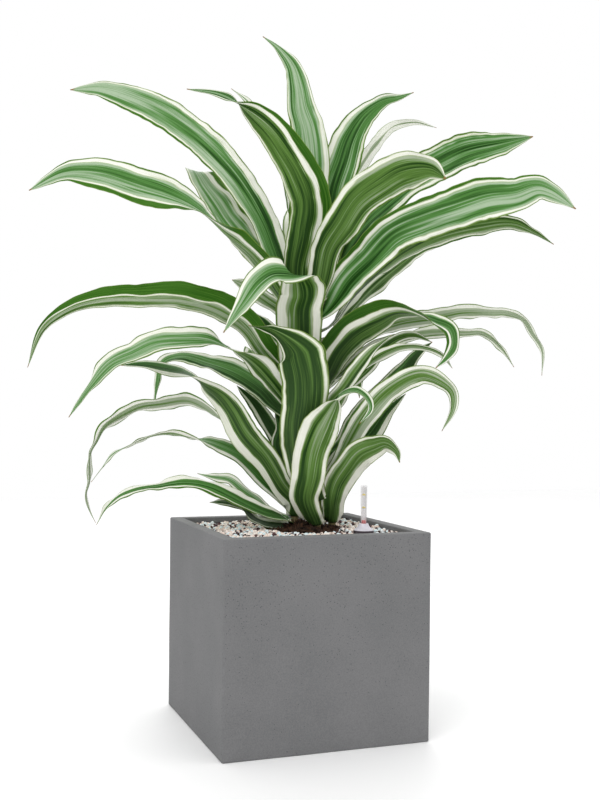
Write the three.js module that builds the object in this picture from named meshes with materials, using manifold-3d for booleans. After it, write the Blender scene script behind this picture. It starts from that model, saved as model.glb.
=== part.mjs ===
// A potted dracaena: a tuft of variegated, sword-shaped leaves on four short canes,
// planted in a square cube planter that is topped with mineral granulate.
// Millimetres, +Z up. The origin is the middle of the planter's underside.
import * as THREE from 'three';
import { mergeVertices } from 'three/addons/utils/BufferGeometryUtils.js';
import Module from 'manifold-3d';

const wasm = await Module();
wasm.setup();

// ---- driving dimensions ----

const GAP = 0.3; // clearance between pieces that touch
const PAST = 1; // how far a cutting tool runs past the face that it opens
const PLANTER = { rimSide: 300, footSide: 299, height: 290, wall: 18, floor: 20, corner: 3 };
const BELOW_RIM = 10; // how far the granulate lies under the planter's rim

// The root ball narrows above its shoulder to the patch of soil that shows.
const ROOT_BALL = {
  topRadius: 48, shoulderRadius: 85, footRadius: 65, depth: 215,
  shoulder: 14, // how deep the shoulder lies under the granulate
  slope: { in: 8, down: 20 }, // its bevel
  crown: 2, // how far the soil stands above the granulate
};

// The water gauge: a clear tube from the planter's floor, with a float and needle inside.
const GAUGE = { x: 71, y: -95, radius: 5, bore: 3.8, above: 73, cap: 2, chamfer: 1 };
const FLOAT = { radius: 3.2, length: 45, neck: 3 };
const NEEDLE = { radius: 1.6, tipRadius: 2.8, tipLength: 6, neck: 2, point: 1, aboveCollar: 5 };

// Its bell-shaped collar, as points [out from the tube, up from the granulate].
const COLLAR_HEIGHT = 19;
const COLLAR = [[8.2, 0], [9.2, 1], [9.2, 9], [8.4, 10.3], [4.6, 13], [2.2, 16], [1.2, COLLAR_HEIGHT]];

const PLANT = { x: 33, y: 2, turn: -20.2 }; // the foot of the plant and its turn in degrees
const CANE_DEPTH = 60; // how deep the canes stand in the root ball
const LEAF = {
  thickness: 1.6,
  thinning: 0.6, // how much thinner the tip is, as a share
  fold: 12, // how far each half is raised from flat, in degrees
  foldStart: 0.12, // where along the leaf the fold is complete
  claspEnd: 0.16, // where the foot stops clasping the cane
  stations: 20,
};

// The blade's section as points [across, up]: from margin to margin under it, then back
// over it. Across is a share of half its width, up a share of half its thickness.
const BLADE_SECTION = [[-1, -0.4], [0, -1], [1, -0.4], [1, 0.4], [0, 1], [-1, 0.4]];
const KEEL_POINT = 1; // the section's lowest point
const LEAF_WIDTH = { foot: 0.28, tip: 0.04, taper: 2.2 }; // shares of the greatest width
const SIDES = { corner: 4, rootBall: 24, gauge: 16, collar: 20, needle: 12, cane: 8 };

const GRANULATE_TOP = PLANTER.height - BELOW_RIM;

// The canes, as points [across, away, up] above the granulate.
const CANES = {
  main: { radius: 8, points: [[0, 10, 0], [-6, 9, 120], [-12, 7, 240], [-18, 5, 354]] },
  left: { radius: 6, points: [[-28, 14, 0], [-31, 16, 60], [-33, 18, 112]] },
  front: { radius: 6, points: [[4, -22, 0], [5, -26, 70], [6, -30, 134]] },
  right: { radius: 6, points: [[26, 6, 0], [30, 6, 40], [34, 6, 80]] },
};

// The leaves: the cane and the height that each grows from, its greatest width, where
// that is as a share of its length, a taper where it isn't the usual one, the midrib's
// points beyond the foot, and the way the upper face looks from foot to tip. Points and
// ways are [across, away, up] in the plant's own axes, in which the plant shows its best
// side to -away.
const LEAVES = {
  crown_leaf_01: {
    cane: 'main', from: 352, width: 58, widest: 0.45, taper: 1.55,
    midrib: [
      [-20, 15, 400], [-15, 15, 470], [-10, 15, 545], [-15, 20, 600], [-25, 25, 635],
      [-30, 30, 670], [-40, 40, 705], [-60, 40, 730], [-85, 45, 750],
    ],
    face: [[0, -1, 0.1], [0, -1, 0.1], [0.2, -1, 0.2]],
  },
  crown_leaf_02: {
    cane: 'main', from: 326, width: 54, widest: 0.64, taper: 2.6,
    midrib: [
      [-55, 10, 395], [-85, 35, 470], [-125, 50, 535], [-175, 65, 590], [-235, 75, 635],
      [-295, 85, 665], [-345, 90, 680], [-390, 95, 680],
    ],
    face: [[0.5, -1, 0.2], [0.3, -1, 0.1], [0.1, -1, 0.2]],
  },
  crown_leaf_03: {
    cane: 'main', from: 344, width: 62, widest: 0.34, taper: 1.8,
    midrib: [
      [-25, -15, 385], [-15, -30, 435], [-10, -40, 480], [-25, -50, 520], [-45, -60, 550],
      [-70, -70, 580], [-105, -80, 605], [-140, -90, 620], [-185, -100, 625],
    ],
    face: [
      [0, 1, 0.1], [0, 1, 0.1], [0, 1, 0.1], [0, 1, 0.2], [0, 1, 0.3], [0, 0.8, 0.6],
      [0, -0.7, 0.7], [0, -0.9, 0.5],
    ],
  },
  crown_leaf_04: {
    cane: 'main', from: 344, width: 24, widest: 0.5,
    midrib: [
      [-25, 45, 415], [-35, 60, 485], [-55, 65, 570], [-85, 70, 625], [-110, 75, 660],
      [-135, 80, 680],
    ],
    face: [[0.6, -0.8, 0.3], [0.3, -0.7, 0.5]],
  },
  crown_leaf_05: {
    cane: 'main', from: 336, width: 68, widest: 0.45, taper: 1.6,
    midrib: [
      [10, 25, 400], [20, 40, 460], [25, 55, 515], [40, 70, 565], [50, 80, 600], [65, 90, 630],
      [80, 100, 650], [105, 110, 670], [130, 120, 680], [155, 125, 690],
    ],
    face: [[-0.3, -1, 0.3], [-0.2, -1, 0.2]],
  },
  crown_leaf_06: {
    cane: 'main', from: 322, width: 34, widest: 0.4,
    midrib: [
      [-5, 70, 410], [35, 115, 490], [60, 145, 555], [100, 180, 620], [130, 200, 655],
      [165, 210, 665], [205, 225, 660],
    ],
    face: [[-0.5, -0.6, 0.6], [-0.3, 0.8, 0.4], [-0.2, 0.8, 0.5]],
  },
  crown_leaf_07: {
    cane: 'main', from: 320, width: 58, widest: 0.72, taper: 2.6,
    midrib: [
      [5, -30, 365], [15, -55, 410], [35, -80, 440], [55, -95, 470], [85, -115, 490],
      [115, -130, 505], [150, -150, 505], [170, -160, 490],
    ],
    face: [[-0.5, 0.9, 0.2], [-0.3, 1, 0.3], [0, 1, 0.4]],
  },
  crown_leaf_08: {
    cane: 'main', from: 314, width: 72, widest: 0.7, taper: 2.2,
    midrib: [
      [20, 20, 380], [55, 45, 445], [100, 85, 500], [150, 110, 545], [200, 135, 575],
      [245, 150, 600], [300, 155, 615], [355, 160, 630],
    ],
    face: [[-0.5, -1, 0.2], [-0.2, -1, 0.3]],
  },
  crown_leaf_09: {
    cane: 'main', from: 300, width: 66, widest: 0.62, taper: 2.2,
    midrib: [
      [20, -10, 330], [45, -20, 370], [75, -30, 400], [110, -40, 435], [155, -45, 455],
      [200, -50, 470], [245, -50, 485], [285, -55, 490], [315, -55, 500], [335, -55, 495],
      [370, -60, 470],
    ],
    face: [[-0.4, -1, 0.2], [-0.2, -1, 0.2], [0.1, -1, 0.2]],
  },
  crown_leaf_10: {
    cane: 'main', from: 288, width: 46, widest: 0.45, taper: 1.8,
    midrib: [
      [25, 5, 305], [55, 5, 345], [90, 10, 380], [135, 10, 415], [185, 10, 440], [245, 10, 455],
      [295, 10, 460], [330, 10, 445], [355, 10, 430],
    ],
    face: [[-0.5, -0.3, 0.8], [-0.3, 0.5, 0.8], [0.3, 0.7, 0.6]],
  },
  crown_leaf_11: {
    cane: 'main', from: 276, width: 40, widest: 0.45,
    midrib: [
      [25, 25, 285], [50, 40, 325], [85, 55, 365], [125, 70, 400], [165, 85, 430], [210, 95, 445],
    ],
    face: [[-0.5, 0.5, 0.8], [-0.2, 0.8, 0.6]],
  },
  crown_leaf_12: {
    cane: 'main', from: 314, width: 66, widest: 0.56, taper: 1.7,
    midrib: [
      [-50, 35, 380], [-75, 45, 405], [-105, 60, 445], [-130, 70, 475], [-150, 80, 505],
      [-170, 95, 530], [-185, 115, 555], [-190, 140, 560], [-185, 170, 545], [-175, 195, 525],
    ],
    face: [
      [0.4, -0.9, 0.2], [0.4, -0.9, 0.2], [0.3, -0.9, 0.3], [0.3, -0.85, 0.4], [0.1, -0.2, 1],
      [-0.2, 0.8, 0.5],
    ],
  },
  crown_leaf_13: {
    cane: 'main', from: 300, width: 59, widest: 0.58,
    midrib: [
      [-60, -5, 360], [-95, -20, 405], [-135, -30, 435], [-170, -40, 465], [-210, -45, 485],
      [-260, -50, 500], [-315, -55, 515], [-365, -55, 515], [-415, -55, 490],
    ],
    face: [[0.5, 0.7, 0.5], [0.2, 0.2, 1], [0, -1, 0.2], [0, -1, 0.3]],
  },
  crown_leaf_14: {
    cane: 'main', from: 272, width: 34, widest: 0.6, taper: 3,
    midrib: [
      [-50, 35, 325], [-75, 50, 345], [-105, 65, 365], [-130, 75, 380],
    ],
    face: [[0.4, 0.6, 0.6], [0.2, 0.8, 0.5]],
  },
  crown_leaf_15: {
    cane: 'main', from: 245, width: 30, widest: 0.45,
    midrib: [
      [-35, 25, 265], [-60, 40, 290], [-80, 55, 315], [-100, 70, 330],
    ],
    face: [[0.4, -0.6, 0.6], [0.1, -0.6, 0.8]],
  },
  mid_leaf_01: {
    cane: 'main', from: 172, width: 68, widest: 0.5, taper: 1.7,
    midrib: [
      [-25, -45, 245], [-25, -60, 285], [-25, -70, 320], [-20, -85, 340], [-25, -100, 360],
      [-35, -120, 365], [-60, -135, 365], [-80, -150, 350], [-100, -160, 320], [-125, -170, 280],
    ],
    face: [
      [0, 0.9, 0.2], [0, 0.9, 0.2], [0, 0.9, 0.3], [0, 0.8, 0.6], [-0.1, -0.5, 0.85],
      [-0.3, -0.9, 0.4], [-0.3, -0.9, 0.4], [-0.3, -0.9, 0.3],
    ],
  },
  mid_leaf_02: {
    cane: 'main', from: 208, width: 47, widest: 0.36, taper: 1.4,
    midrib: [
      [-45, -5, 230], [-75, -15, 265], [-100, -20, 300], [-135, -30, 325], [-190, -45, 340],
      [-245, -50, 340], [-310, -60, 335], [-355, -65, 320], [-390, -70, 290], [-410, -70, 235],
    ],
    face: [[0.5, 0.8, 0.4], [0.2, 0.9, 0.4], [-0.2, 0.9, 0.4]],
  },
  mid_leaf_03: {
    cane: 'main', from: 155, width: 48, widest: 0.38, taper: 2,
    midrib: [
      [-45, -15, 195], [-65, -35, 220], [-95, -50, 250], [-125, -65, 265], [-155, -80, 275],
      [-190, -95, 275], [-225, -105, 270], [-255, -110, 255], [-285, -115, 240], [-310, -120, 210],
      [-340, -120, 165],
    ],
    face: [[0.4, 0.8, 0.5], [0.2, 0.6, 0.8], [0, -0.7, 0.7], [-0.2, -0.9, 0.5], [-0.3, -0.9, 0.4]],
  },
  mid_leaf_04: {
    cane: 'main', from: 178, width: 46, widest: 0.3, taper: 1.5,
    midrib: [
      [-50, 15, 180], [-80, 30, 210], [-120, 40, 235], [-165, 55, 250], [-205, 65, 260],
      [-235, 70, 250], [-245, 80, 220], [-250, 80, 175],
    ],
    face: [[0.5, -0.9, 0.3], [0.2, -0.8, 0.5], [0, -0.5, 0.8], [-0.6, -0.7, 0.2]],
  },
  mid_leaf_05: {
    cane: 'left', from: 20, width: 52, widest: 0.5, taper: 2.4,
    midrib: [
      [-30, 0, 40], [-50, -5, 65], [-75, -10, 105], [-105, -15, 140], [-125, -20, 175],
      [-140, -25, 195], [-160, -35, 210], [-180, -40, 225], [-215, -50, 235], [-245, -55, 240],
      [-280, -55, 240],
    ],
    face: [
      [0.5, 0.9, 0.2], [0.4, 0.9, 0.3], [0.3, 0.9, 0.3], [0.1, 0.5, 0.9], [-0.1, -0.6, 0.8],
      [-0.1, -0.7, 0.7],
    ],
  },
  mid_leaf_06: {
    cane: 'left', from: 90, width: 30, widest: 0.5,
    midrib: [
      [-40, 25, 105], [-65, 35, 145], [-90, 50, 185], [-120, 60, 215],
    ],
    face: [[0.5, -0.8, 0.3], [0.3, -0.8, 0.5]],
  },
  mid_leaf_07: {
    cane: 'left', from: 87, width: 24, widest: 0.5,
    midrib: [
      [-55, 0, 125], [-50, 10, 150], [-60, 15, 180],
    ],
    face: [[0.5, -0.8, 0.1], [0.3, -0.8, 0.2]],
  },
  mid_leaf_08: {
    cane: 'front', from: 46, width: 70, widest: 0.72, taper: 0.7,
    midrib: [
      [-15, -50, 85], [-20, -60, 120], [-20, -70, 155], [-15, -80, 190], [-15, -85, 220],
      [-20, -90, 245], [-25, -90, 260], [-40, -95, 275], [-65, -100, 290], [-95, -105, 295],
    ],
    face: [[0, 1, 0.2], [0, 1, 0.2], [0, 1, 0.2], [0, 0.9, 0.4], [-0.1, 0.7, 0.8], [-0.3, 0.2, 1]],
  },
  mid_leaf_09: {
    cane: 'main', from: 190, width: 58, widest: 0.45, taper: 2.2,
    midrib: [
      [15, -15, 230], [35, -25, 270], [60, -35, 295], [90, -45, 310], [115, -50, 320],
      [145, -60, 315], [170, -60, 305], [190, -65, 295], [195, -65, 275], [185, -70, 255],
      [170, -70, 240],
    ],
    face: [
      [-0.5, 0.8, 0.4], [-0.3, 0.9, 0.3], [-0.1, 0.9, 0.4], [0.2, 0.3, 1], [0.6, -0.7, 0.4],
      [0.7, -0.6, 0.2],
    ],
  },
  mid_leaf_10: {
    cane: 'main', from: 248, width: 34, widest: 0.4, taper: 1.2,
    midrib: [
      [30, 20, 260], [75, 25, 290], [125, 35, 310], [180, 40, 320], [225, 45, 330], [270, 50, 330],
      [295, 55, 330], [320, 55, 320], [335, 60, 300], [350, 60, 275], [350, 60, 235],
    ],
    face: [[-0.3, 0.7, 0.7], [0, 0.8, 0.7], [0.6, 0.7, 0.5]],
  },
  mid_leaf_11: {
    cane: 'main', from: 216, width: 28, widest: 0.5, taper: 1.6,
    midrib: [
      [35, 10, 230], [75, 10, 265], [125, 10, 285], [175, 10, 295], [220, 5, 295], [250, 5, 295],
      [275, 0, 275], [295, 0, 245],
    ],
    face: [[-0.3, 0.6, 0.8], [0, 0.6, 0.8], [0.6, 0.6, 0.5]],
  },
  mid_leaf_12: {
    cane: 'main', from: 150, width: 22, widest: 0.5,
    midrib: [
      [30, -25, 180], [55, -35, 225], [90, -40, 255], [125, -50, 270], [155, -50, 270],
      [180, -55, 260], [195, -60, 240],
    ],
    face: [[-0.4, 0.5, 0.7], [-0.2, 0.6, 0.8], [0.5, 0.5, 0.6]],
  },
  mid_leaf_13: {
    cane: 'front', from: 130, width: 28, widest: 0.45,
    midrib: [
      [20, -50, 185], [40, -60, 210], [60, -70, 240], [80, -80, 265], [105, -90, 285],
    ],
    face: [[-0.5, 0.7, 0.4], [-0.2, 0.8, 0.5]],
  },
  mid_leaf_14: {
    cane: 'main', from: 168, width: 28, widest: 0.45,
    midrib: [
      [35, 5, 195], [50, 0, 215], [75, -5, 240], [95, -10, 265], [120, -10, 285], [145, -15, 290],
      [170, -20, 280],
    ],
    face: [[-0.5, 0.7, 0.4], [-0.2, 0.8, 0.5]],
  },
  mid_leaf_15: {
    cane: 'main', from: 105, width: 34, widest: 0.55,
    midrib: [
      [40, 10, 125], [60, 20, 160], [85, 30, 190], [110, 35, 215], [135, 40, 240], [155, 50, 265],
      [180, 55, 285],
    ],
    face: [[-0.5, -0.9, 0.3], [-0.2, -0.9, 0.3]],
  },
  low_leaf_01: {
    cane: 'front', from: 26, width: 38, widest: 0.5, taper: 1.6,
    midrib: [
      [15, -15, 55], [35, -20, 95], [55, -25, 135], [75, -35, 170], [105, -45, 205],
      [135, -50, 225], [155, -55, 230], [180, -60, 220], [195, -65, 205], [195, -65, 180],
      [180, -65, 150],
    ],
    face: [[-0.5, 0.8, 0.3], [-0.2, 0.9, 0.3], [0.5, 0.8, 0.4]],
  },
  low_leaf_02: {
    cane: 'right', from: 52, width: 30, widest: 0.5,
    midrib: [
      [35, 20, 75], [60, 30, 110], [90, 40, 145], [110, 45, 175], [140, 55, 205],
    ],
    face: [[-0.5, -0.9, 0.3], [-0.2, -0.9, 0.3]],
  },
  low_leaf_03: {
    cane: 'front', from: 10, width: 56, widest: 0.55, taper: 0.75,
    midrib: [
      [-15, -55, 50], [-10, -65, 80], [-5, -70, 115], [5, -80, 145], [20, -90, 175],
      [35, -95, 200], [55, -100, 205], [70, -105, 195], [75, -110, 180], [60, -110, 160],
    ],
    face: [
      [0, 0.9, 0.4], [0, 0.9, 0.4], [0, 0.8, 0.6], [0.1, 0.4, 0.9], [0.3, -0.6, 0.7],
      [0.3, -0.9, 0.4],
    ],
  },
  low_leaf_04: {
    cane: 'right', from: 12, width: 50, widest: 0.5, taper: 1.8,
    midrib: [
      [30, -30, 50], [35, -35, 70], [50, -45, 95], [65, -55, 115], [85, -60, 125], [100, -65, 130],
      [115, -70, 120], [120, -70, 105],
    ],
    face: [[-0.5, 0.8, 0.3], [-0.2, 0.9, 0.3], [0.4, 0.8, 0.4]],
  },
  low_leaf_05: {
    cane: 'right', from: 33, width: 22, widest: 0.45,
    midrib: [
      [15, 5, 55], [20, -5, 75], [25, -5, 100], [35, -5, 125],
    ],
    face: [[-0.5, 0.8, 0.1], [-0.3, 0.8, 0.2]],
  },
  low_leaf_06: {
    cane: 'left', from: 66, width: 27, widest: 0.4, taper: 1.8,
    midrib: [
      [-65, 30, 100], [-105, 30, 140], [-145, 20, 165], [-165, 15, 180], [-190, 10, 190],
      [-230, 5, 185], [-260, 0, 180], [-290, -5, 165], [-310, -10, 150], [-320, -15, 130],
      [-330, -15, 110], [-330, -20, 70], [-335, -20, 50], [-330, -20, 30], [-320, -20, 10],
    ],
    face: [
      [0.4, 0.4, 0.8], [0.2, -0.6, 0.8], [0, 0.7, 0.7], [-0.3, 0.7, 0.6], [-0.8, 0.1, 0.5],
      [-0.7, 0.6, 0.3],
    ],
  },
  low_leaf_07: {
    cane: 'left', from: 20, width: 34, widest: 0.28, taper: 1.8,
    midrib: [
      [-50, 20, 45], [-80, 20, 75], [-110, 25, 105], [-150, 25, 125], [-190, 25, 135],
      [-220, 30, 140], [-250, 30, 135], [-285, 35, 120], [-310, 40, 105], [-325, 45, 85],
      [-340, 45, 65],
    ],
    face: [
      [0.3, -0.8, 0.6], [0.2, -0.8, 0.7], [0.1, -0.6, 0.8], [0, 0.5, 0.9], [-0.3, -0.3, 0.9],
      [-0.6, -0.6, 0.5],
    ],
  },
  low_leaf_08: {
    cane: 'left', from: 8, width: 32, widest: 0.3, taper: 1.3,
    midrib: [
      [-45, -20, 20], [-75, -35, 30], [-95, -45, 40], [-120, -60, 55], [-150, -70, 70],
      [-185, -75, 75], [-220, -80, 70], [-250, -85, 65], [-275, -90, 55], [-290, -95, 40],
      [-305, -95, 15],
    ],
    face: [[0.4, -0.6, 0.8], [0, -0.6, 0.8], [-0.5, -0.6, 0.6]],
  },
  low_leaf_09: {
    cane: 'left', from: 5, width: 30, widest: 0.45,
    midrib: [
      [-70, -10, 10], [-90, -25, 20], [-105, -35, 35], [-125, -50, 45], [-150, -60, 45],
    ],
    face: [[0.3, -0.5, 0.8], [-0.2, -0.5, 0.9]],
  },
  low_leaf_10: {
    cane: 'left', from: 16, width: 26, widest: 0.45,
    midrib: [
      [-65, -5, 25], [-85, -15, 45], [-105, -25, 60], [-125, -30, 75], [-150, -40, 80],
      [-170, -40, 85],
    ],
    face: [[0.4, -0.6, 0.8], [0, -0.6, 0.8]],
  },
  back_leaf_01: {
    cane: 'main', from: 306, width: 58, widest: 0.45,
    midrib: [
      [-20, 75, 385], [-25, 150, 480], [-20, 220, 520], [-20, 280, 505], [-20, 320, 465],
    ],
    face: [[0, -0.8, 0.5], [0, -0.2, 1], [0, 0.9, 0.5]],
  },
  back_leaf_02: {
    cane: 'main', from: 256, width: 54, widest: 0.45,
    midrib: [
      [-30, 80, 345], [-45, 150, 425], [-70, 215, 465], [-75, 270, 450], [-75, 300, 405],
    ],
    face: [[0.3, -0.7, 0.5], [0, -0.2, 1], [-0.2, 0.9, 0.5]],
  },
  back_leaf_03: {
    cane: 'main', from: 298, width: 54, widest: 0.45,
    midrib: [
      [10, 65, 350], [35, 140, 415], [50, 205, 435], [60, 260, 425], [65, 290, 385],
    ],
    face: [[-0.3, -0.7, 0.5], [0, -0.2, 1], [0.2, 0.9, 0.5]],
  },
  back_leaf_04: {
    cane: 'main', from: 228, width: 52, widest: 0.45,
    midrib: [
      [-20, 70, 245], [-20, 150, 300], [-15, 220, 315], [-15, 275, 285], [-10, 305, 235],
    ],
    face: [[0, -0.7, 0.5], [0, -0.2, 1], [0, 0.9, 0.5]],
  },
  back_leaf_05: {
    cane: 'main', from: 200, width: 46, widest: 0.45,
    midrib: [
      [15, 60, 215], [45, 130, 260], [65, 190, 270], [75, 235, 245], [80, 255, 200],
    ],
    face: [[-0.3, -0.7, 0.5], [0, -0.2, 1], [0.2, 0.9, 0.5]],
  },
  back_leaf_06: {
    cane: 'main', from: 214, width: 48, widest: 0.45,
    midrib: [
      [-45, 60, 225], [-75, 130, 265], [-95, 190, 275], [-105, 235, 250], [-110, 260, 210],
    ],
    face: [[0.3, -0.7, 0.5], [0, -0.2, 1], [-0.2, 0.9, 0.5]],
  },
  back_leaf_07: {
    cane: 'left', from: 50, width: 44, widest: 0.45,
    midrib: [
      [-25, 70, 85], [-30, 130, 130], [-30, 190, 145], [-35, 240, 115], [-35, 265, 55],
    ],
    face: [[0, -0.7, 0.5], [0, -0.2, 1], [0, 0.9, 0.5]],
  },
  back_leaf_08: {
    cane: 'right', from: 28, width: 40, widest: 0.45,
    midrib: [
      [25, 60, 75], [40, 125, 120], [60, 180, 135], [65, 225, 110], [70, 245, 60],
    ],
    face: [[-0.3, -0.7, 0.5], [0, -0.2, 1], [0.2, 0.9, 0.5]],
  },
  back_leaf_09: {
    cane: 'main', from: 120, width: 46, widest: 0.45,
    midrib: [
      [-10, 60, 145], [-5, 130, 185], [5, 200, 205], [5, 255, 175], [10, 285, 125],
    ],
    face: [[0, -0.7, 0.5], [0, -0.2, 1], [0, 0.9, 0.5]],
  },
};

// ---- finishes ----

function finish(color, roughness) {
  return new THREE.MeshStandardMaterial({ color, roughness, metalness: 0 });
}

function concrete() {
  return finish(0x767676, 0.85);
}

function mineralGrains() {
  return finish(0xcdbfb6, 0.9);
}

function darkSoil() {
  return finish(0x33241b, 0.95);
}

function caneBark() {
  return finish(0x6f6046, 0.8);
}

function leafGreen() {
  return finish(0x5c8f57, 0.45);
}

function clearPlastic() {
  return finish(0xdedde0, 0.2);
}

function redPlastic() {
  return finish(0xb8321c, 0.4);
}

// ---- solids and cuts ----

function toSolid(geometry) {
  const bare = geometry.clone();
  bare.deleteAttribute('normal');
  bare.deleteAttribute('uv');
  const merged = mergeVertices(bare);
  const vertProperties = new Float32Array(merged.attributes.position.array);
  const triVerts = new Uint32Array(merged.index.array);
  return new wasm.Manifold(new wasm.Mesh({ numProp: 3, vertProperties, triVerts }));
}

function toGeometry(solid) {
  const mesh = solid.getMesh();
  const geometry = new THREE.BufferGeometry();
  geometry.setAttribute('position', new THREE.BufferAttribute(mesh.vertProperties, 3));
  geometry.setIndex(new THREE.BufferAttribute(mesh.triVerts, 1));
  geometry.computeVertexNormals();
  return geometry;
}

function cut(body, ...tools) {
  const rest = tools.reduce((solid, tool) => solid.subtract(toSolid(tool)), toSolid(body));
  return toGeometry(rest);
}

function named(name, geometry, material) {
  const mesh = new THREE.Mesh(geometry, material);
  mesh.name = name;
  return mesh;
}

// A solid of revolution about a vertical axis, from points [radius, height].
function turned(profile, sides) {
  const points = profile.map(([radius, z]) => new THREE.Vector2(radius, z));
  const lathe = new THREE.LatheGeometry(points, sides);
  return lathe.rotateX(Math.PI / 2);
}

// ---- planter and filling ----

function roundedSquare(side, corner) {
  const inner = side / 2 - corner;
  const quarter = Math.PI / 2;
  const shape = new THREE.Shape();
  shape.absarc(inner, inner, corner, 0, quarter);
  shape.absarc(-inner, inner, corner, quarter, 2 * quarter);
  shape.absarc(-inner, -inner, corner, 2 * quarter, 3 * quarter);
  shape.absarc(inner, -inner, corner, 3 * quarter, 4 * quarter);
  shape.closePath();
  return shape;
}

// The planter's side length at a height, because it narrows a little towards the foot.
function sideAt(z) {
  return THREE.MathUtils.lerp(PLANTER.footSide, PLANTER.rimSide, z / PLANTER.height);
}

// A square block from z0 to z1 that follows the planter's slope, inset on every side.
function slopedBlock(z0, z1, inset) {
  const topSide = sideAt(z1) - 2 * inset;
  const block = new THREE.ExtrudeGeometry(roundedSquare(topSide, PLANTER.corner), {
    depth: z1 - z0,
    bevelEnabled: false,
    curveSegments: SIDES.corner,
  });
  block.translate(0, 0, z0);
  const position = block.attributes.position;
  for (let i = 0; i < position.count; i += 1) {
    const scale = (sideAt(position.getZ(i)) - 2 * inset) / topSide;
    position.setX(i, position.getX(i) * scale);
    position.setY(i, position.getY(i) * scale);
  }
  return block;
}

function planter() {
  const outside = slopedBlock(0, PLANTER.height, 0);
  const inside = slopedBlock(PLANTER.floor, PLANTER.height + PAST, PLANTER.wall);
  return named('cube_planter', cut(outside, inside), concrete());
}

// The root ball's outline up to a top, grown by a clearance for the hollow it stands in.
function rootBallShape(grow, top) {
  const bevelTop = GRANULATE_TOP - ROOT_BALL.shoulder + grow;
  const bottom = GRANULATE_TOP - ROOT_BALL.depth - grow;
  const ball = turned([
    [0, bottom],
    [ROOT_BALL.footRadius + grow, bottom],
    [ROOT_BALL.shoulderRadius + grow, bevelTop - ROOT_BALL.slope.down],
    [ROOT_BALL.shoulderRadius - ROOT_BALL.slope.in + grow, bevelTop],
    [ROOT_BALL.topRadius + grow, bevelTop],
    [ROOT_BALL.topRadius + grow, top],
    [0, top],
  ], SIDES.rootBall);
  return ball.translate(PLANT.x, PLANT.y, 0);
}

function granulate() {
  const fill = slopedBlock(PLANTER.floor + GAP, GRANULATE_TOP, PLANTER.wall + GAP);
  const ballHollow = rootBallShape(GAP, GRANULATE_TOP + PAST);
  const gaugeShaft = turned([
    [0, PLANTER.floor - PAST],
    [GAUGE.radius + GAP, PLANTER.floor - PAST],
    [GAUGE.radius + GAP, GRANULATE_TOP + PAST],
    [0, GRANULATE_TOP + PAST],
  ], SIDES.gauge);
  gaugeShaft.translate(GAUGE.x, GAUGE.y, 0);
  return named('mineral_granulate', cut(fill, ballHollow, gaugeShaft), mineralGrains());
}

// ---- water gauge ----

// The tube is open at its foot and closed by a cap at its top.
function gaugeTube() {
  const foot = PLANTER.floor + GAP;
  const top = GRANULATE_TOP + GAUGE.above;
  const tube = turned([
    [GAUGE.bore, foot],
    [GAUGE.radius, foot],
    [GAUGE.radius, top - GAUGE.chamfer],
    [GAUGE.radius - GAUGE.chamfer, top],
    [0, top],
    [0, top - GAUGE.cap],
    [GAUGE.bore, top - GAUGE.cap],
    [GAUGE.bore, foot],
  ], SIDES.gauge);
  tube.translate(GAUGE.x, GAUGE.y, 0);
  return named('gauge_tube', tube, clearPlastic());
}

// The float at the bottom of the tube carries a thin needle with a red tip.
function gaugeNeedle() {
  const foot = PLANTER.floor + GAP;
  const floatTop = foot + FLOAT.length;
  const top = GRANULATE_TOP + COLLAR_HEIGHT + NEEDLE.aboveCollar;
  const tipFoot = top - NEEDLE.tipLength;
  const needle = turned([
    [0, foot],
    [FLOAT.radius, foot],
    [FLOAT.radius, floatTop],
    [NEEDLE.radius, floatTop + FLOAT.neck],
    [NEEDLE.radius, tipFoot - NEEDLE.neck],
    [NEEDLE.tipRadius, tipFoot],
    [NEEDLE.tipRadius, top - NEEDLE.point],
    [0, top],
  ], SIDES.needle);
  needle.translate(GAUGE.x, GAUGE.y, 0);
  return named('gauge_needle', needle, redPlastic());
}

function gaugeCollar() {
  const foot = GRANULATE_TOP + GAP;
  const bore = GAUGE.radius + GAP;
  const bell = COLLAR.map(([out, up]) => [bore + out, foot + up]);
  const collar = turned([
    [bore, foot],
    ...bell,
    [bore, foot + COLLAR_HEIGHT],
    [bore, foot],
  ], SIDES.collar);
  collar.translate(GAUGE.x, GAUGE.y, 0);
  return named('gauge_collar', collar, clearPlastic());
}

// ---- canes ----

function vector([x, y, z]) {
  return new THREE.Vector3(x, y, z);
}

function caneCurve(cane, depth) {
  const points = cane.points.map(vector);
  const foot = points[0].clone().setZ(-depth);
  return new THREE.CatmullRomCurve3([foot, ...points]);
}

function caneGeometry(cane, radius, depth) {
  const section = new THREE.Shape();
  section.absarc(0, 0, radius, 0, 2 * Math.PI);
  return new THREE.ExtrudeGeometry(section, {
    steps: 8,
    curveSegments: SIDES.cane,
    extrudePath: caneCurve(cane, depth),
  });
}

function canes() {
  return Object.entries(CANES).map(([name, cane]) => (
    named(`cane_${name}`, caneGeometry(cane, cane.radius, CANE_DEPTH), caneBark())
  ));
}

// A socket in the root ball, in the planter's axes.
function caneSocket(cane) {
  const socket = caneGeometry(cane, cane.radius + GAP, CANE_DEPTH + GAP);
  socket.rotateZ(THREE.MathUtils.degToRad(PLANT.turn));
  return socket.translate(PLANT.x, PLANT.y, GRANULATE_TOP);
}

function rootBall() {
  const ball = rootBallShape(0, GRANULATE_TOP + ROOT_BALL.crown);
  const sockets = Object.values(CANES).map(caneSocket);
  return named('soil_root_ball', cut(ball, ...sockets), darkSoil());
}

// ---- leaves ----

// The point of a cane's centre line at a height, between two of its close points.
function caneCentre(cane, height) {
  const points = caneCurve(cane, CANE_DEPTH).getPoints(100);
  const next = points.findIndex((point) => point.z >= height);
  const low = points[next - 1];
  const high = points[next];
  return low.clone().lerp(high, (height - low.z) / (high.z - low.z));
}

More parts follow.
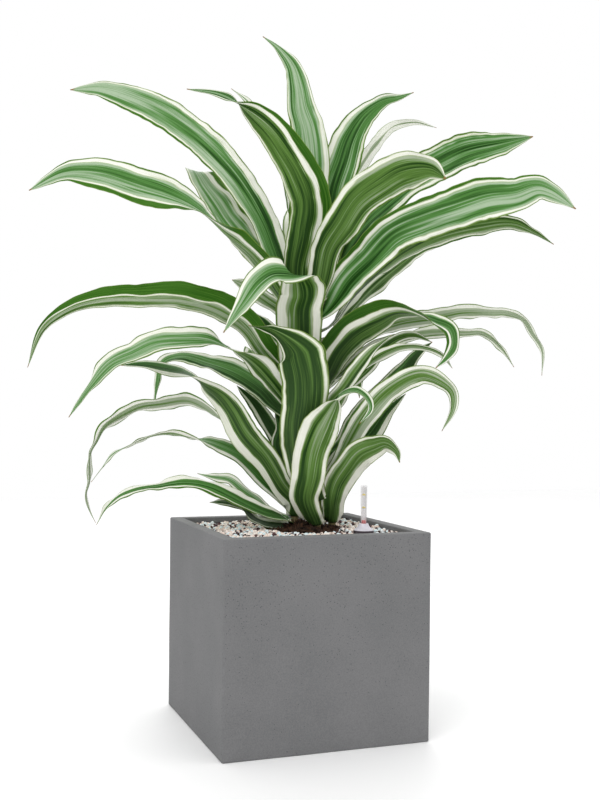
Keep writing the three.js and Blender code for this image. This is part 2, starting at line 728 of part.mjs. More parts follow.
// A leaf leaves its cane on the side of the midrib's next point.
function outwardWay({ cane, from, midrib }) {
  return vector(midrib[0]).sub(caneCentre(CANES[cane], from)).setZ(0).normalize();
}

// The midrib starts on the cane's bark. A blade that rises along the cane needs room for
// half its thickness there, and one that leaves level needs almost none.
function midribCurve(leaf) {
  const cane = CANES[leaf.cane];
  const foot = caneCentre(cane, leaf.from);
  const outward = outwardWay(leaf);
  const level = vector(leaf.midrib[0]).sub(foot).normalize().dot(outward);
  const seat = GAP + (LEAF.thickness / 2) * Math.sqrt(1 - level ** 2);
  foot.addScaledVector(outward, cane.radius + seat);
  return new THREE.CatmullRomCurve3([foot, ...leaf.midrib.map(vector)]);
}

// Half the blade's width: narrow at the foot, full at its widest, pointed at the tip.
function halfWidth({ width, widest, taper = LEAF_WIDTH.taper }, t) {
  if (t < widest) {
    const rise = Math.sin((Math.PI / 2) * (t / widest));
    return (width / 2) * THREE.MathUtils.lerp(LEAF_WIDTH.foot, 1, rise);
  }
  const fall = 1 - ((t - widest) / (1 - widest)) ** taper;
  return (width / 2) * Math.max(LEAF_WIDTH.tip, fall);
}

// The upper face clasps the cane at the foot, then turns the way that is listed.
function faceAt(leaf, t) {
  const place = t * (leaf.face.length - 1);
  const first = Math.min(Math.floor(place), leaf.face.length - 2);
  const from = vector(leaf.face[first]).normalize();
  const to = vector(leaf.face[first + 1]).normalize();
  const clasp = outwardWay(leaf).negate();
  return clasp.lerp(from.lerp(to, place - first), Math.min(1, t / LEAF.claspEnd));
}

// A ring of section points where the blade's share of its length is t.
function bladeRing(leaf, curve, t) {
  const along = curve.getTangentAt(t);
  const up = faceAt(leaf, t).projectOnPlane(along).normalize();
  const across = up.clone().cross(along);
  const fullFold = THREE.MathUtils.degToRad(LEAF.fold) * (1 - t / 2);
  const fold = fullFold * Math.min(1, t / LEAF.foldStart);
  return BLADE_SECTION.flatMap(([x, y]) => {
    const reach = x * halfWidth(leaf, t);
    const lift = y * (LEAF.thickness / 2) * (1 - LEAF.thinning * t);
    const point = curve.getPointAt(t);
    point.addScaledVector(across, reach * Math.cos(fold));
    point.addScaledVector(up, Math.abs(reach) * Math.sin(fold) + lift);
    return point.toArray();
  });
}

// The skin between two rings. The upper and the lower face are divided along the same
// diagonals, so that they stay a blade's thickness apart where it twists.
function skinBetween(ring, next) {
  const count = BLADE_SECTION.length;
  return BLADE_SECTION.flatMap(([x], i) => {
    const j = (i + 1) % count;
    if (BLADE_SECTION[j][0] < x) {
      return [ring + i, ring + j, next + i, ring + j, next + j, next + i];
    }
    return [ring + i, ring + j, next + j, ring + i, next + j, next + i];
  });
}

// A fan over a ring from its keel point, facing back at the foot and on at the tip.
function endFan(ring, facingOn) {
  const count = BLADE_SECTION.length;
  return Array.from({ length: count - 2 }, (_, i) => {
    const near = ring + ((KEEL_POINT + 1 + i) % count);
    const far = ring + ((KEEL_POINT + 2 + i) % count);
    return facingOn ? [ring + KEEL_POINT, near, far] : [ring + KEEL_POINT, far, near];
  }).flat();
}

// A blade is a row of rings along the midrib with a skin between them.
function leafGeometry(leaf) {
  const curve = midribCurve(leaf);
  const positions = [];
  for (let row = 0; row <= LEAF.stations; row += 1) {
    positions.push(...bladeRing(leaf, curve, row / LEAF.stations));
  }
  const count = BLADE_SECTION.length;
  const faces = [...endFan(0, false), ...endFan(LEAF.stations * count, true)];
  for (let row = 0; row < LEAF.stations; row += 1) {
    faces.push(...skinBetween(row * count, (row + 1) * count));
  }
  const blade = new THREE.BufferGeometry();
  blade.setAttribute('position', new THREE.Float32BufferAttribute(positions, 3));
  blade.setIndex(faces);
  blade.computeVertexNormals();
  return blade;
}

function leaves() {
  return Object.entries(LEAVES).map(([name, leaf]) => (
    named(name, leafGeometry(leaf), leafGreen())
  ));
}

// ---- the whole ----

function plant() {
  const group = new THREE.Group();
  group.add(...canes(), ...leaves());
  group.position.set(PLANT.x, PLANT.y, GRANULATE_TOP);
  group.rotation.z = THREE.MathUtils.degToRad(PLANT.turn);
  return group;
}

const pottedDracaena = new THREE.Group();
pottedDracaena.add(planter(), granulate(), rootBall());
pottedDracaena.add(gaugeTube(), gaugeNeedle(), gaugeCollar());
pottedDracaena.add(plant());

export default pottedDracaena;
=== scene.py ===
# %% [markdown]
# # A striped dracaena in a grey cube planter
# This lesson dresses a plain CAD model of a potted dracaena. The CAD solids say where every
# leaf, cane and grain bed is, and they stay the truth for sizes. Here each of them is replaced
# by a finely shaped mesh that carries the colours, stripes and wear of the real plant.
# All lengths in Blender are metres. The plant's own data is kept in millimetres, because that
# is how leaves are measured, and one constant turns them into metres.

# %% Load the CAD model as a fixed frame
import itertools
import math
import random

import bmesh
import bpy
from mathutils import Matrix, Vector, noise


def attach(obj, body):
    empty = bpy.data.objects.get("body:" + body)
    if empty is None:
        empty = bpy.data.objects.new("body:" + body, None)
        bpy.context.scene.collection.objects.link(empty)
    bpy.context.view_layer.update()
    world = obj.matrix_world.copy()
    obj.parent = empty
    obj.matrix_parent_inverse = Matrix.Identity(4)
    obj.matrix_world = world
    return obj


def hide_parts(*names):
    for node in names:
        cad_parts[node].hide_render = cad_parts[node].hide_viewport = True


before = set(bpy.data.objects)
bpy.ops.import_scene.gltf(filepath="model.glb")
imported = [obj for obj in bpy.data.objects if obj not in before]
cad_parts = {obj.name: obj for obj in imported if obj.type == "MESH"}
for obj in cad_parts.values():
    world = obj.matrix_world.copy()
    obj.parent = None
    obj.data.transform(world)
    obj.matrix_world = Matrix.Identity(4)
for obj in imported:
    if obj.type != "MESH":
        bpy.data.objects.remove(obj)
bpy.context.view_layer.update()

MM = 0.001

# %% [markdown]
# ## The camera
# The photograph looks at one corner of the planter from a little above its rim. The camera was
# fitted to the planter's seven visible corners: its place, its heading, a slight upward tilt, a
# slight roll, and a lens that fits 800 pixels of height. Keeping it exact matters, because the
# leaves were placed by looking along the very same rays.

# %% Camera
CAMERA_PLACE = Vector((-0.5405, -1.4917, 0.4581))
CAMERA_HEADING = math.radians(20.2)  # from +Y towards +X
CAMERA_TILT = math.radians(0.54)
CAMERA_ROLL = 0.0099
FOCAL_PIXELS = 1077
IMAGE_HEIGHT = 800
SENSOR = 36


def camera_axes():
    forward = Vector((
        math.sin(CAMERA_HEADING) * math.cos(CAMERA_TILT),
        math.cos(CAMERA_HEADING) * math.cos(CAMERA_TILT),
        math.sin(CAMERA_TILT),
    ))
    level = Vector((math.cos(CAMERA_HEADING), -math.sin(CAMERA_HEADING), 0))
    above = level.cross(forward)
    right = level * math.cos(CAMERA_ROLL) + above * math.sin(CAMERA_ROLL)
    up = above * math.cos(CAMERA_ROLL) - level * math.sin(CAMERA_ROLL)
    return right, up, -forward


camera_data = bpy.data.cameras.new("camera")
camera_data.sensor_width = SENSOR
camera_data.lens = FOCAL_PIXELS / IMAGE_HEIGHT * SENSOR
camera = bpy.data.objects.new("camera", camera_data)
bpy.context.scene.collection.objects.link(camera)
camera.matrix_world = Matrix.Translation(CAMERA_PLACE) @ Matrix(camera_axes()).transposed().to_4x4()
bpy.context.scene.camera = camera
print("lens", round(camera_data.lens, 2), "mm")

# %% [markdown]
# ## Light and floor
# The plant was shot in a white studio: light from everywhere, a large soft lamp high on the left,
# and almost no shadow. An even white sky does most of it. Three big area lamps give the leaves a
# lit and a shaded side. The plain colour transform keeps the whites of the leaves white.

# %% Sky, lamps and floor
FLOOR_SIDE = 8.0
SKY_STRENGTH = 1.0
LAMPS = {
    # name: (place, size, power in watts)
    "key_lamp": ((-1.6, -1.9, 2.6), 1.6, 26),
    "fill_lamp": ((2.2, -1.4, 1.6), 2.0, 4),
    "back_lamp": ((0.6, 2.2, 2.4), 1.8, 20),
}
LAMP_AIM = Vector((0, 0, 0.5))


def lamp(name, place, size, power):
    data = bpy.data.lights.new(name, "AREA")
    data.size = size
    data.energy = power
    lamp_object = bpy.data.objects.new(name, data)
    lamp_object.location = place
    lamp_object.rotation_euler = (LAMP_AIM - Vector(place)).to_track_quat("-Z", "Y").to_euler()
    bpy.context.scene.collection.objects.link(lamp_object)


for name, values in LAMPS.items():
    lamp(name, *values)

world = bpy.data.worlds.new("white_studio")
world.use_nodes = True
world.node_tree.nodes["Background"].inputs["Color"].default_value = (1, 1, 1, 1)
world.node_tree.nodes["Background"].inputs["Strength"].default_value = SKY_STRENGTH
bpy.context.scene.world = world
bpy.context.scene.view_settings.view_transform = "Standard"
print(len(LAMPS), "lamps and a white sky")

# %% [markdown]
# ## Small helpers for meshes
# Almost everything in this plant is a skin over rows of points: a planter wall is rings of
# points stacked upwards, a leaf is rows of points laid along its midrib, a cane is rings along
# a bent line. So one helper joins rows into faces, and another turns the result into an object
# that rides on the CAD body, replaces its CAD node and wears the finish it is given.

# %% Faces between rows of points
def ring_faces(rows, columns, closed=True):
    """Faces between rows of points; closed rows join their last point to their first."""
    faces = []
    spans = columns if closed else columns - 1
    for row in range(rows - 1):
        for column in range(spans):
            here = row * columns + column
            beside = row * columns + (column + 1) % columns
            faces.append((here, beside, beside + columns, here + columns))
    return faces


def capped(points, faces, sides):
    """Closes a stack of rings with a flat end at its bottom and at its top."""
    faces.append(tuple(reversed(range(sides))))
    faces.append(tuple(range(len(points) - sides, len(points))))
    return points, faces


def joined_round(points, faces, sides):
    """Closes a stack of rings by joining its last ring to its first."""
    last = len(points) - sides
    for side in range(sides):
        beside = (side + 1) % sides
        faces.append((last + side, last + beside, beside, side))
    return points, faces


def sheet_faces(rows, columns, front, back):
    """A closed sheet: its front, its back, and the narrow edge that runs round between them."""
    grid = ring_faces(rows, columns, closed=False)
    faces = [tuple(front + i for i in face) for face in grid]
    faces += [tuple(back + i for i in reversed(face)) for face in grid]
    rim = list(range(columns))
    rim += [row * columns + columns - 1 for row in range(1, rows)]
    rim += [(rows - 1) * columns + column for column in range(columns - 2, -1, -1)]
    rim += [row * columns for row in range(rows - 2, 0, -1)]
    for here, beside in zip(rim, rim[1:] + rim[:1]):
        faces.append((front + beside, front + here, back + here, back + beside))
    return faces


# %% Making a piece
def make_piece(name, points, faces, material, slot, *nodes):
    """A smooth piece that rides on the planter's body and stands in for its CAD node."""
    mesh = bpy.data.meshes.new(name)
    mesh.from_pydata([tuple(p) for p in points], [], faces)
    mesh.validate()
    mesh.shade_smooth()
    mesh.materials.append(material)
    piece = bpy.data.objects.new(name, mesh)
    bpy.context.scene.collection.objects.link(piece)
    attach(piece, "root")
    if nodes:
        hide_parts(*nodes)
    return piece


def store(mesh, name, values, kind="FLOAT"):
    """Keeps one value per point on the mesh, where a material can read it by name."""
    attribute = mesh.attributes.new(name, kind, "POINT")
    field = "color" if kind == "FLOAT_COLOR" else "value"
    flat = [v for value in values for v in value] if kind == "FLOAT_COLOR" else values
    attribute.data.foreach_set(field, flat)


# %% Turned shapes and soft steps
def turned(profile, sides):
    """Rings of a shape turned on the lathe, from a profile of (radius, height)."""
    rings = []
    for radius, height in profile:
        for side in range(sides):
            angle = 2 * math.pi * side / sides
            rings.append(Vector((radius * math.cos(angle), radius * math.sin(angle), height)))
    return rings


def lerp(a, b, share):
    return a + (b - a) * share


def smooth(value, low, high):
    """0 below low, 1 above high, and a soft step between."""
    share = min(1, max(0, (value - low) / (high - low)))
    return share * share * (3 - 2 * share)


# %% [markdown]
# ## Small helpers for materials
# A material is a graph of nodes. Writing each node out in full hides the idea, so these helpers
# read like sums: a value can be a plain number or another node's output.

# %% Sums and mixes
def put(tree, socket, value):
    if isinstance(value, bpy.types.NodeSocket):
        tree.links.new(value, socket)
    else:
        socket.default_value = value


def maths(tree, operation, *values, clamp=False):
    node = tree.nodes.new("ShaderNodeMath")
    node.operation = operation
    node.use_clamp = clamp
    for socket, value in zip(node.inputs, values):
        put(tree, socket, value)
    return node.outputs[0]


def mixed(tree, mask, first, second):
    node = tree.nodes.new("ShaderNodeMix")
    node.data_type = "RGBA"
    put(tree, node.inputs[0], mask)
    put(tree, node.inputs[6], first)
    put(tree, node.inputs[7], second)
    return node.outputs[2]


def partly(tree, mask, amount, first, second):
    """Mixes in no more than an amount of the second colour, where the mask says."""
    return mixed(tree, maths(tree, "MULTIPLY", mask, amount), first, second)


def stepped(tree, value, low, high):
    """0 below low, 1 above high, and smooth between."""
    node = tree.nodes.new("ShaderNodeMapRange")
    node.interpolation_type = "SMOOTHSTEP"
    for socket, amount in zip(node.inputs, (value, low, high)):
        put(tree, socket, amount)
    return node.outputs[0]


# %% Places and textures
def vector(tree, x, y, z):
    node = tree.nodes.new("ShaderNodeCombineXYZ")
    for socket, value in zip(node.inputs, (x, y, z)):
        put(tree, socket, value)
    return node.outputs[0]


def cloud(tree, place, scale, detail=2.0, roughness=0.5):
    node = tree.nodes.new("ShaderNodeTexNoise")
    put(tree, node.inputs["Vector"], place)
    put(tree, node.inputs["Scale"], scale)
    put(tree, node.inputs["Detail"], detail)
    put(tree, node.inputs["Roughness"], roughness)
    return node.outputs["Fac"]


def object_place(tree):
    return tree.nodes.new("ShaderNodeTexCoord").outputs["Object"]


def height_of(tree, place):
    split = tree.nodes.new("ShaderNodeSeparateXYZ")
    tree.links.new(place, split.inputs[0])
    return split.outputs["Z"]


def stored(tree, name):
    """A value that the mesh keeps at its points."""
    node = tree.nodes.new("ShaderNodeAttribute")
    node.attribute_name = name
    return node


# %% Colours and finishes
def srgb(code):
    """A colour as it is read off a screen, turned into the light that a shader wants."""
    parts = [int(code[i:i + 2], 16) / 255 for i in (1, 3, 5)]
    return (*[p / 12.92 if p <= 0.04045 else ((p + 0.055) / 1.055) ** 2.4 for p in parts], 1.0)


def new_material(name, **constants):
    material = bpy.data.materials.new(name)
    material.use_nodes = True
    shader = material.node_tree.nodes["Principled BSDF"]
    for socket, value in constants.items():
        shader.inputs[socket.replace("_", " ")].default_value = value
    return material, material.node_tree, shader


def bumped(tree, shader, height, distance, strength=1.0):
    node = tree.nodes.new("ShaderNodeBump")
    node.inputs["Distance"].default_value = distance
    node.inputs["Strength"].default_value = strength
    put(tree, node.inputs["Height"], height)
    tree.links.new(node.outputs[0], shader.inputs["Normal"])


# %% [markdown]
# ## Mottle, the shared effect
# Cast concrete, mineral grains, soil and bark have one thing in common: their colour drifts in
# soft clouds and is peppered with fine dark pits. That is built once, as a node group, and each
# material sets its own sizes. The group only gives out masks, so the shaders stay in the
# materials.

# %% The mottle group
MOTTLE_SIZES = {"Cloud Scale": 8.0, "Grain Scale": 300.0, "Pit Scale": 150.0, "Pit Size": 0.2}
PIT_LEVEL = 0.62  # only cells with a random value above this hold a pit


def mottle_group():
    group = bpy.data.node_groups.new("mottle", "ShaderNodeTree")
    face = group.interface
    face.new_socket("Place", in_out="INPUT", socket_type="NodeSocketVector")
    for name, value in MOTTLE_SIZES.items():
        face.new_socket(name, in_out="INPUT", socket_type="NodeSocketFloat").default_value = value
    for name in ("Clouds", "Grain", "Pits"):
        face.new_socket(name, in_out="OUTPUT", socket_type="NodeSocketFloat")
    given = group.nodes.new("NodeGroupInput")
    out = group.nodes.new("NodeGroupOutput")
    clouds = cloud(group, given.outputs["Place"], given.outputs["Cloud Scale"], 4.0, 0.6)
    grain = cloud(group, given.outputs["Place"], given.outputs["Grain Scale"], 3.0, 0.7)
    cells = group.nodes.new("ShaderNodeTexVoronoi")
    group.links.new(given.outputs["Place"], cells.inputs["Vector"])
    group.links.new(given.outputs["Pit Scale"], cells.inputs["Scale"])
    rare = maths(group, "GREATER_THAN", cells.outputs["Color"], PIT_LEVEL)
    near = maths(group, "SUBTRACT", given.outputs["Pit Size"], cells.outputs["Distance"])
    pits = maths(group, "MULTIPLY", rare, maths(group, "MULTIPLY", near, 12.0, clamp=True))
    for name, value in (("Clouds", clouds), ("Grain", grain), ("Pits", pits)):
        group.links.new(value, out.inputs[name])
    return group


MOTTLE = mottle_group()


def mottle(tree, place, clouds, grain, pits, pit_size):
    node = tree.nodes.new("ShaderNodeGroup")
    node.node_tree = MOTTLE
    tree.links.new(place, node.inputs["Place"])
    for name, value in zip(MOTTLE_SIZES, (clouds, grain, pits, pit_size)):
        node.inputs[name].default_value = value
    return node.outputs


print("mottle gives", [socket.name for socket in MOTTLE.nodes["Group Output"].inputs if socket.name])

# %% Floor
def floor_material():
    material, tree, shader = new_material("pale_floor", Roughness=0.6)
    marks = mottle(tree, object_place(tree), clouds=1.5, grain=60.0, pits=40.0, pit_size=0.1)
    colour = mixed(tree, marks["Clouds"], srgb("#fafafa"), srgb("#ffffff"))
    tree.links.new(colour, shader.inputs["Base Color"])
    return material


half = FLOOR_SIDE / 2
floor_mesh = bpy.data.meshes.new("floor")
corners = [(-half, -half, 0), (half, -half, 0), (half, half, 0), (-half, half, 0)]
floor_mesh.from_pydata(corners, [], [(0, 1, 2, 3)])
floor_mesh.materials.append(floor_material())
floor = bpy.data.objects.new("floor", floor_mesh)
bpy.context.scene.collection.objects.link(floor)
print("floor", FLOOR_SIDE, "m square")

# %% [markdown]
# ## The cube planter
# The real planter is cast in a mould, so its faces are flat but its edges are softly rounded,
# rim and corners alike. A cube with a bevel would do, but then the rim's two edges and the
# corners all share one radius. Here the wall is a stack of rounded squares instead, from the
# middle of the underside, up the outside, over the rim and down the inside to the floor. Each
# ring says its height and how far it stands in from the outer face, so every edge gets the
# radius that it has on the real thing.

# %% Planter shape
PLANTER = {"rim": 300, "foot": 299, "height": 290, "wall": 18, "floor": 20, "corner": 3.2}
RIM_ROUND = 2.2
FOOT_ROUND = 2.0
CORNER_POINTS = 9
EDGE_POINTS = 14
WAVINESS = 0.35  # how far the cast faces wander from flat
WAVE_LENGTH = 0.012  # how quickly they do, per millimetre


def planter_side(height):
    return lerp(PLANTER["foot"], PLANTER["rim"], height / PLANTER["height"])


def rounded_square(half, corner, height):
    """One ring: four round corners with points along the straight stretches between them."""
    corner = min(corner, half)
    points = []
    for quarter in range(4):
        turn = Matrix.Rotation(quarter * math.pi / 2, 3, "Z")
        for step in range(CORNER_POINTS):
            angle = math.pi / 2 * step / (CORNER_POINTS - 1)
            x = half - corner + corner * math.cos(angle)
            y = half - corner + corner * math.sin(angle)
            points.append(turn @ Vector((x, y, height)))
        for step in range(1, EDGE_POINTS):
            x = lerp(half - corner, corner - half, step / EDGE_POINTS)
            points.append(turn @ Vector((x, half, height)))
    return points


def quarter_round(inset, height, radius, start, end, steps=6):
    """Rings (inset, height) round an edge whose centre is given, between two angles in degrees."""
    angles = [math.radians(lerp(start, end, step / steps)) for step in range(steps + 1)]
    return [(inset - radius * math.cos(a), height + radius * math.sin(a)) for a in angles]


def planter_rings():
    top, wall = PLANTER["height"], PLANTER["wall"]
    middle = PLANTER["foot"] / 2
    rings = [(middle * share, 0) for share in (0.98, 0.75, 0.5, 0.25, 0.08)]
    rings += quarter_round(FOOT_ROUND, FOOT_ROUND, FOOT_ROUND, -90, 0)
    rings += [(0, height) for height in range(15, 286, 15)]
    rings += quarter_round(RIM_ROUND, top - RIM_ROUND, RIM_ROUND, 0, 90)
    rings += [(wall / 2, top)]
    rings += quarter_round(wall - RIM_ROUND, top - RIM_ROUND, RIM_ROUND, 90, 180)
    rings += [(wall, height) for height in (270, 230, 170, 110, 60, PLANTER["floor"])]
    rings += [(middle * share, PLANTER["floor"]) for share in (0.3, 0.6, 0.98)]
    return rings


def cast_wander(point):
    """A slow, small wave over the cast face, the same on every run."""
    amount = noise.noise(point * WAVE_LENGTH) * WAVINESS
    outward = Vector((point.x, point.y, 0)).normalized()
    return point + outward * amount


def planter_mesh():
    points, rings = [], planter_rings()
    for inset, height in rings:
        half = planter_side(height) / 2 - inset
        corner = max(1.0, PLANTER["corner"] - inset * 0.25)
        points += [cast_wander(p) * MM for p in rounded_square(half, corner, height)]
    columns = len(points) // len(rings)
    return capped(points, ring_faces(len(rings), columns), columns)


# %% [markdown]
# ## Cast concrete
# Up close the grey is not one grey. It drifts in soft clouds, it has a fine sandy grain, and
# little air bubbles have left dark pinholes. The rim catches more light, so its top is painted
# a touch paler as a painted highlight. The pits push into the surface, so they go into the bump
# as well.

# %% Concrete material
RIM_HIGHLIGHT_SPAN = (0.2885, 0.2899)  # the heights between which the rim's top is painted paler, a painted highlight


def concrete_material():
    material, tree, shader = new_material("cast_concrete", Roughness=0.78, Specular_IOR_Level=0.35)
    place = object_place(tree)
    marks = mottle(tree, place, clouds=9.0, grain=520.0, pits=300.0, pit_size=0.23)
    drift = stepped(tree, marks["Clouds"], 0.3, 0.7)
    grey = mixed(tree, drift, srgb("#666768"), srgb("#717172"))
    sandy = mixed(tree, stepped(tree, marks["Grain"], 0.3, 0.7), srgb("#606061"), srgb("#79797a"))
    grey = mixed(tree, 0.45, grey, sandy)
    # painted highlight: the top of the rim is painted paler where it catches more light
    painted_highlight = stepped(tree, height_of(tree, place), *RIM_HIGHLIGHT_SPAN)
    grey = partly(tree, painted_highlight, 0.4, grey, srgb("#8c8c8d"))
    grey = partly(tree, marks["Pits"], 0.75, grey, srgb("#333334"))
    tree.links.new(grey, shader.inputs["Base Color"])
    relief = maths(tree, "SUBTRACT", maths(tree, "MULTIPLY", marks["Grain"], 0.35), marks["Pits"])
    bumped(tree, shader, relief, distance=0.0006, strength=0.5)
    return material


points, faces = planter_mesh()
make_piece("planter_shell", points, faces, concrete_material(), "planter", "cube_planter")
print("planter:", len(points), "points, rim radius", RIM_ROUND, "mm")

# %% [markdown]
# ## The root ball and its soil
# Round the stems the grains give way to dark potting soil with bits of bark in it. Most of the
# root ball is out of sight, but it is real, so it gets its true shape down to its foot: a turned
# shape whose top is crumbled by noise. The loose bark chips are separate little slabs, because
# a bump can't break up the outline against the pale grains.

# %% Soil shape
ROOT_BALL = {"top": 48, "shoulder": 85, "foot": 65, "depth": 215}
GRAIN_BED_TOP = 280  # the granulate's height in the planter
PLANT_FOOT = Vector((33, 2, GRAIN_BED_TOP))
PLANT_TURN = math.radians(-20.2)
SOIL_SIDES = 72
SOIL_PATCH = Vector((-16, 2, 0))  # the middle of the soil that shows, seen from the plant's foot
SOIL_REACH = 54  # how far the crumbled top reaches from the plant's foot
MOUND = 7.0  # how high the soil is heaped in the middle of the patch
SLUMP = 6  # how far its edge sinks under the grains
SOIL_RISE = 1.5  # how far all of it stands above the grain bed


def soil_crumble(point):
    """How far the soil stands up at a place: a low mound of clods, crumbs, and a sunken edge."""
    mound = MOUND * (1 - smooth((point - SOIL_PATCH).to_2d().length, 18, 46))
    clods = noise.noise(point * 0.07) * 3.0
    crumbs = noise.noise(point * 0.31) * 1.8 + noise.noise(point * 0.9) * 0.7
    slump = SLUMP * smooth(point.to_2d().length, 40, SOIL_REACH)
    return mound + clods + crumbs - slump


def soil_mesh():
    top, underside = GRAIN_BED_TOP, GRAIN_BED_TOP - ROOT_BALL["depth"]
    ball = [(1, underside), (40, underside), (ROOT_BALL["foot"] - 4, underside)]
    ball += [(ROOT_BALL["foot"], underside + 4), (75, top - 120), (ROOT_BALL["shoulder"], top - 36)]
    ball += [(77, top - 16), (56, top - 13)]
    crown = [(lerp(SOIL_REACH, 0.6, step / 26), top + SOIL_RISE) for step in range(27)]
    points = []
    for index, point in enumerate(turned(ball + crown, SOIL_SIDES)):
        if index >= len(ball) * SOIL_SIDES:
            point.z += soil_crumble(point)
        points.append((point + Vector((PLANT_FOOT.x, PLANT_FOOT.y, 0))) * MM)
    return capped(points, ring_faces(len(ball + crown), SOIL_SIDES), SOIL_SIDES)


# %% Potting soil
def soil_material():
    material, tree, shader = new_material("potting_soil", Roughness=0.92, Specular_IOR_Level=0.2)
    marks = mottle(tree, object_place(tree), clouds=60.0, grain=900.0, pits=300.0, pit_size=0.4)
    tint = stepped(tree, marks["Clouds"], 0.35, 0.65)
    brown = mixed(tree, tint, srgb("#0e0906"), srgb("#2a1c14"))
    brown = mixed(tree, stepped(tree, marks["Grain"], 0.52, 0.7), brown, srgb("#40301f"))
    tree.links.new(brown, shader.inputs["Base Color"])
    bumped(tree, shader, marks["Grain"], distance=0.0015)
    return material


SOIL = soil_material()
points, faces = soil_mesh()
make_piece("soil_crown", points, faces, SOIL, "soil", "soil_root_ball")
print("soil:", len(points), "points")

# %% [markdown]
# ## Loose solids by the hundred
# Grains and bark chips are the same job: make one rough lump, then scatter hundreds of turned
# and resized copies of it into a single mesh. A separate object for each would be slow and
# would bury the scene's list of pieces. Each lump also stores one random number on its points,
# and the material turns that into its own shade.

# %% Scattering helpers
LUMP_DETAIL = 2


def lump():
    """The points and faces of a small ball, used as the start of every grain and chip."""
    ball = bmesh.new()
    bmesh.ops.create_icosphere(ball, subdivisions=LUMP_DETAIL, radius=1)
    points = [v.co.copy() for v in ball.verts]
    faces = [tuple(v.index for v in f.verts) for f in ball.faces]
    ball.free()
    return points, faces


def random_turn(dice):
    """Any turn at all, all of them equally likely."""
    axis = Vector((dice.gauss(0, 1), dice.gauss(0, 1), dice.gauss(0, 1))).normalized()
    return Matrix.Rotation(dice.uniform(0, 2 * math.pi), 3, axis)


def scattered(places, dice, size, stretch, roughness, squareness=0.0):
    """One mesh of lumps: size in millimetres, stretch per axis, roughness as a share of size."""
    base, base_faces = lump()
    points, faces, shades = [], [], []
    for place in places:
        turn = random_turn(dice)
        scale = dice.uniform(*size) / 2
        shape = Vector([dice.uniform(*span) for span in stretch])
        seed = Vector((dice.uniform(0, 99), dice.uniform(0, 99), dice.uniform(0, 99)))
        shade = dice.random()
        start = len(points)
        for corner in base:
            bulge = 1 + noise.noise(corner * 1.3 + seed) * roughness
            blunt = max(abs(corner.x), abs(corner.y), abs(corner.z))
            bulge *= lerp(1, 0.8 / blunt, squareness)
            local = Vector([c * s for c, s in zip(corner, shape)]) * (bulge * scale)
            points.append((turn @ local + place) * MM)
            shades.append(shade)
        faces += [tuple(start + i for i in face) for face in base_faces]
    return points, faces, shades


def scatter_piece(name, parts, material, slot, *nodes):
    points, faces, shades = parts
    piece = make_piece(name, points, faces, material, slot, *nodes)
    store(piece.data, "shade", shades)
    return piece


# %% Bark chips on the soil
CHIP_COUNT = 900
CHIP_SIZE = (2.6, 7.0)
CHIP_STRETCH = ((1.0, 2.8), (0.4, 0.9), (0.18, 0.4))
STREWN_PAST = 50  # chips this far from the plant's foot lie on the grains


def chip_places(dice):
    """Chips lie on the soil, and some are strewn over the granulate beside it."""
    places = []
    for _ in range(CHIP_COUNT):
        radius = SOIL_REACH * math.sqrt(dice.random())
        angle = dice.uniform(0, 2 * math.pi)
        level = GRAIN_BED_TOP + SOIL_RISE
        local = SOIL_PATCH + Vector((radius * math.cos(angle), radius * math.sin(angle), level))
        height = level + soil_crumble(local) + dice.uniform(0.2, 2.2)
        if local.to_2d().length > STREWN_PAST:
            height = GRAIN_BED_TOP + dice.uniform(1.5, 4.5)
        places.append(Vector((PLANT_FOOT.x + local.x, PLANT_FOOT.y + local.y, height)))
    return places


def bark_material():
    material, tree, shader = new_material("bark_chips", Roughness=0.85, Specular_IOR_Level=0.25)
    marks = mottle(tree, object_place(tree), clouds=220.0, grain=1500.0, pits=500.0, pit_size=0.3)
    shade = stored(tree, "shade").outputs["Fac"]
    brown = mixed(tree, shade, srgb("#0f0a07"), srgb("#4f3625"))
    brown = partly(tree, marks["Clouds"], 0.5, brown, srgb("#3a2619"))
    tree.links.new(brown, shader.inputs["Base Color"])
    bumped(tree, shader, marks["Grain"], distance=0.0008)
    return material


dice = random.Random(11)
chips = scattered(chip_places(dice), dice, CHIP_SIZE, CHIP_STRETCH, roughness=0.5)
scatter_piece("bark_chips", chips, bark_material(), "soil", "soil_root_ball")
print(CHIP_COUNT, "bark chips")

# %% [markdown]
# ## The mineral granulate
# Three sorts of grain are mixed in the real topping: rounded cream pumice, angular bluish-white
# mineral and brown lava. The bed below the surface is one closed body that fills the planter
# round the root ball. Its dark brown is painted shade, which stands for the shadowed gaps
# between the grains. Only the two top layers are loose grains. They are laid on a jittered
# grid, so that none leaves a hole, and they keep clear of the soil and of the gauge's collar.

# %% Grain bed
GAUGE_PLACE = Vector((71, -95, 0))
BED_GAP = 0.6  # between the bed and the planter
BED_SIDES = 96
BED_HOLLOW = 78.5  # the radius of the hollow round the root ball


def bed_height(x, y):
    """The bed dips to the soil, and stands a little higher between it and the rim."""
    from_plant = math.hypot(x - PLANT_FOOT.x, y - PLANT_FOOT.y)
    heap = 2.2 * smooth(from_plant, 58, 95) * (1 - smooth(from_plant, 110, 170))
    return GRAIN_BED_TOP - 2.2 + heap + noise.noise(Vector((x, y, 0)) * 0.03) * 1.4


def bed_ring(share_in, height):
    """A ring between the wall (0) and the hollow (1); without a height it follows the top."""
    half = planter_side(height or GRAIN_BED_TOP) / 2 - PLANTER["wall"] - BED_GAP
    ring = []
    for side in range(BED_SIDES):
        angle = 2 * math.pi * side / BED_SIDES
        way = Vector((math.cos(angle), math.sin(angle)))
        outer = way * (half / max(abs(way.x), abs(way.y)))
        x, y = outer.lerp(PLANT_FOOT.to_2d() + way * BED_HOLLOW, share_in)
        ring.append(Vector((x, y, height or bed_height(x, y) - 4)))
    return ring


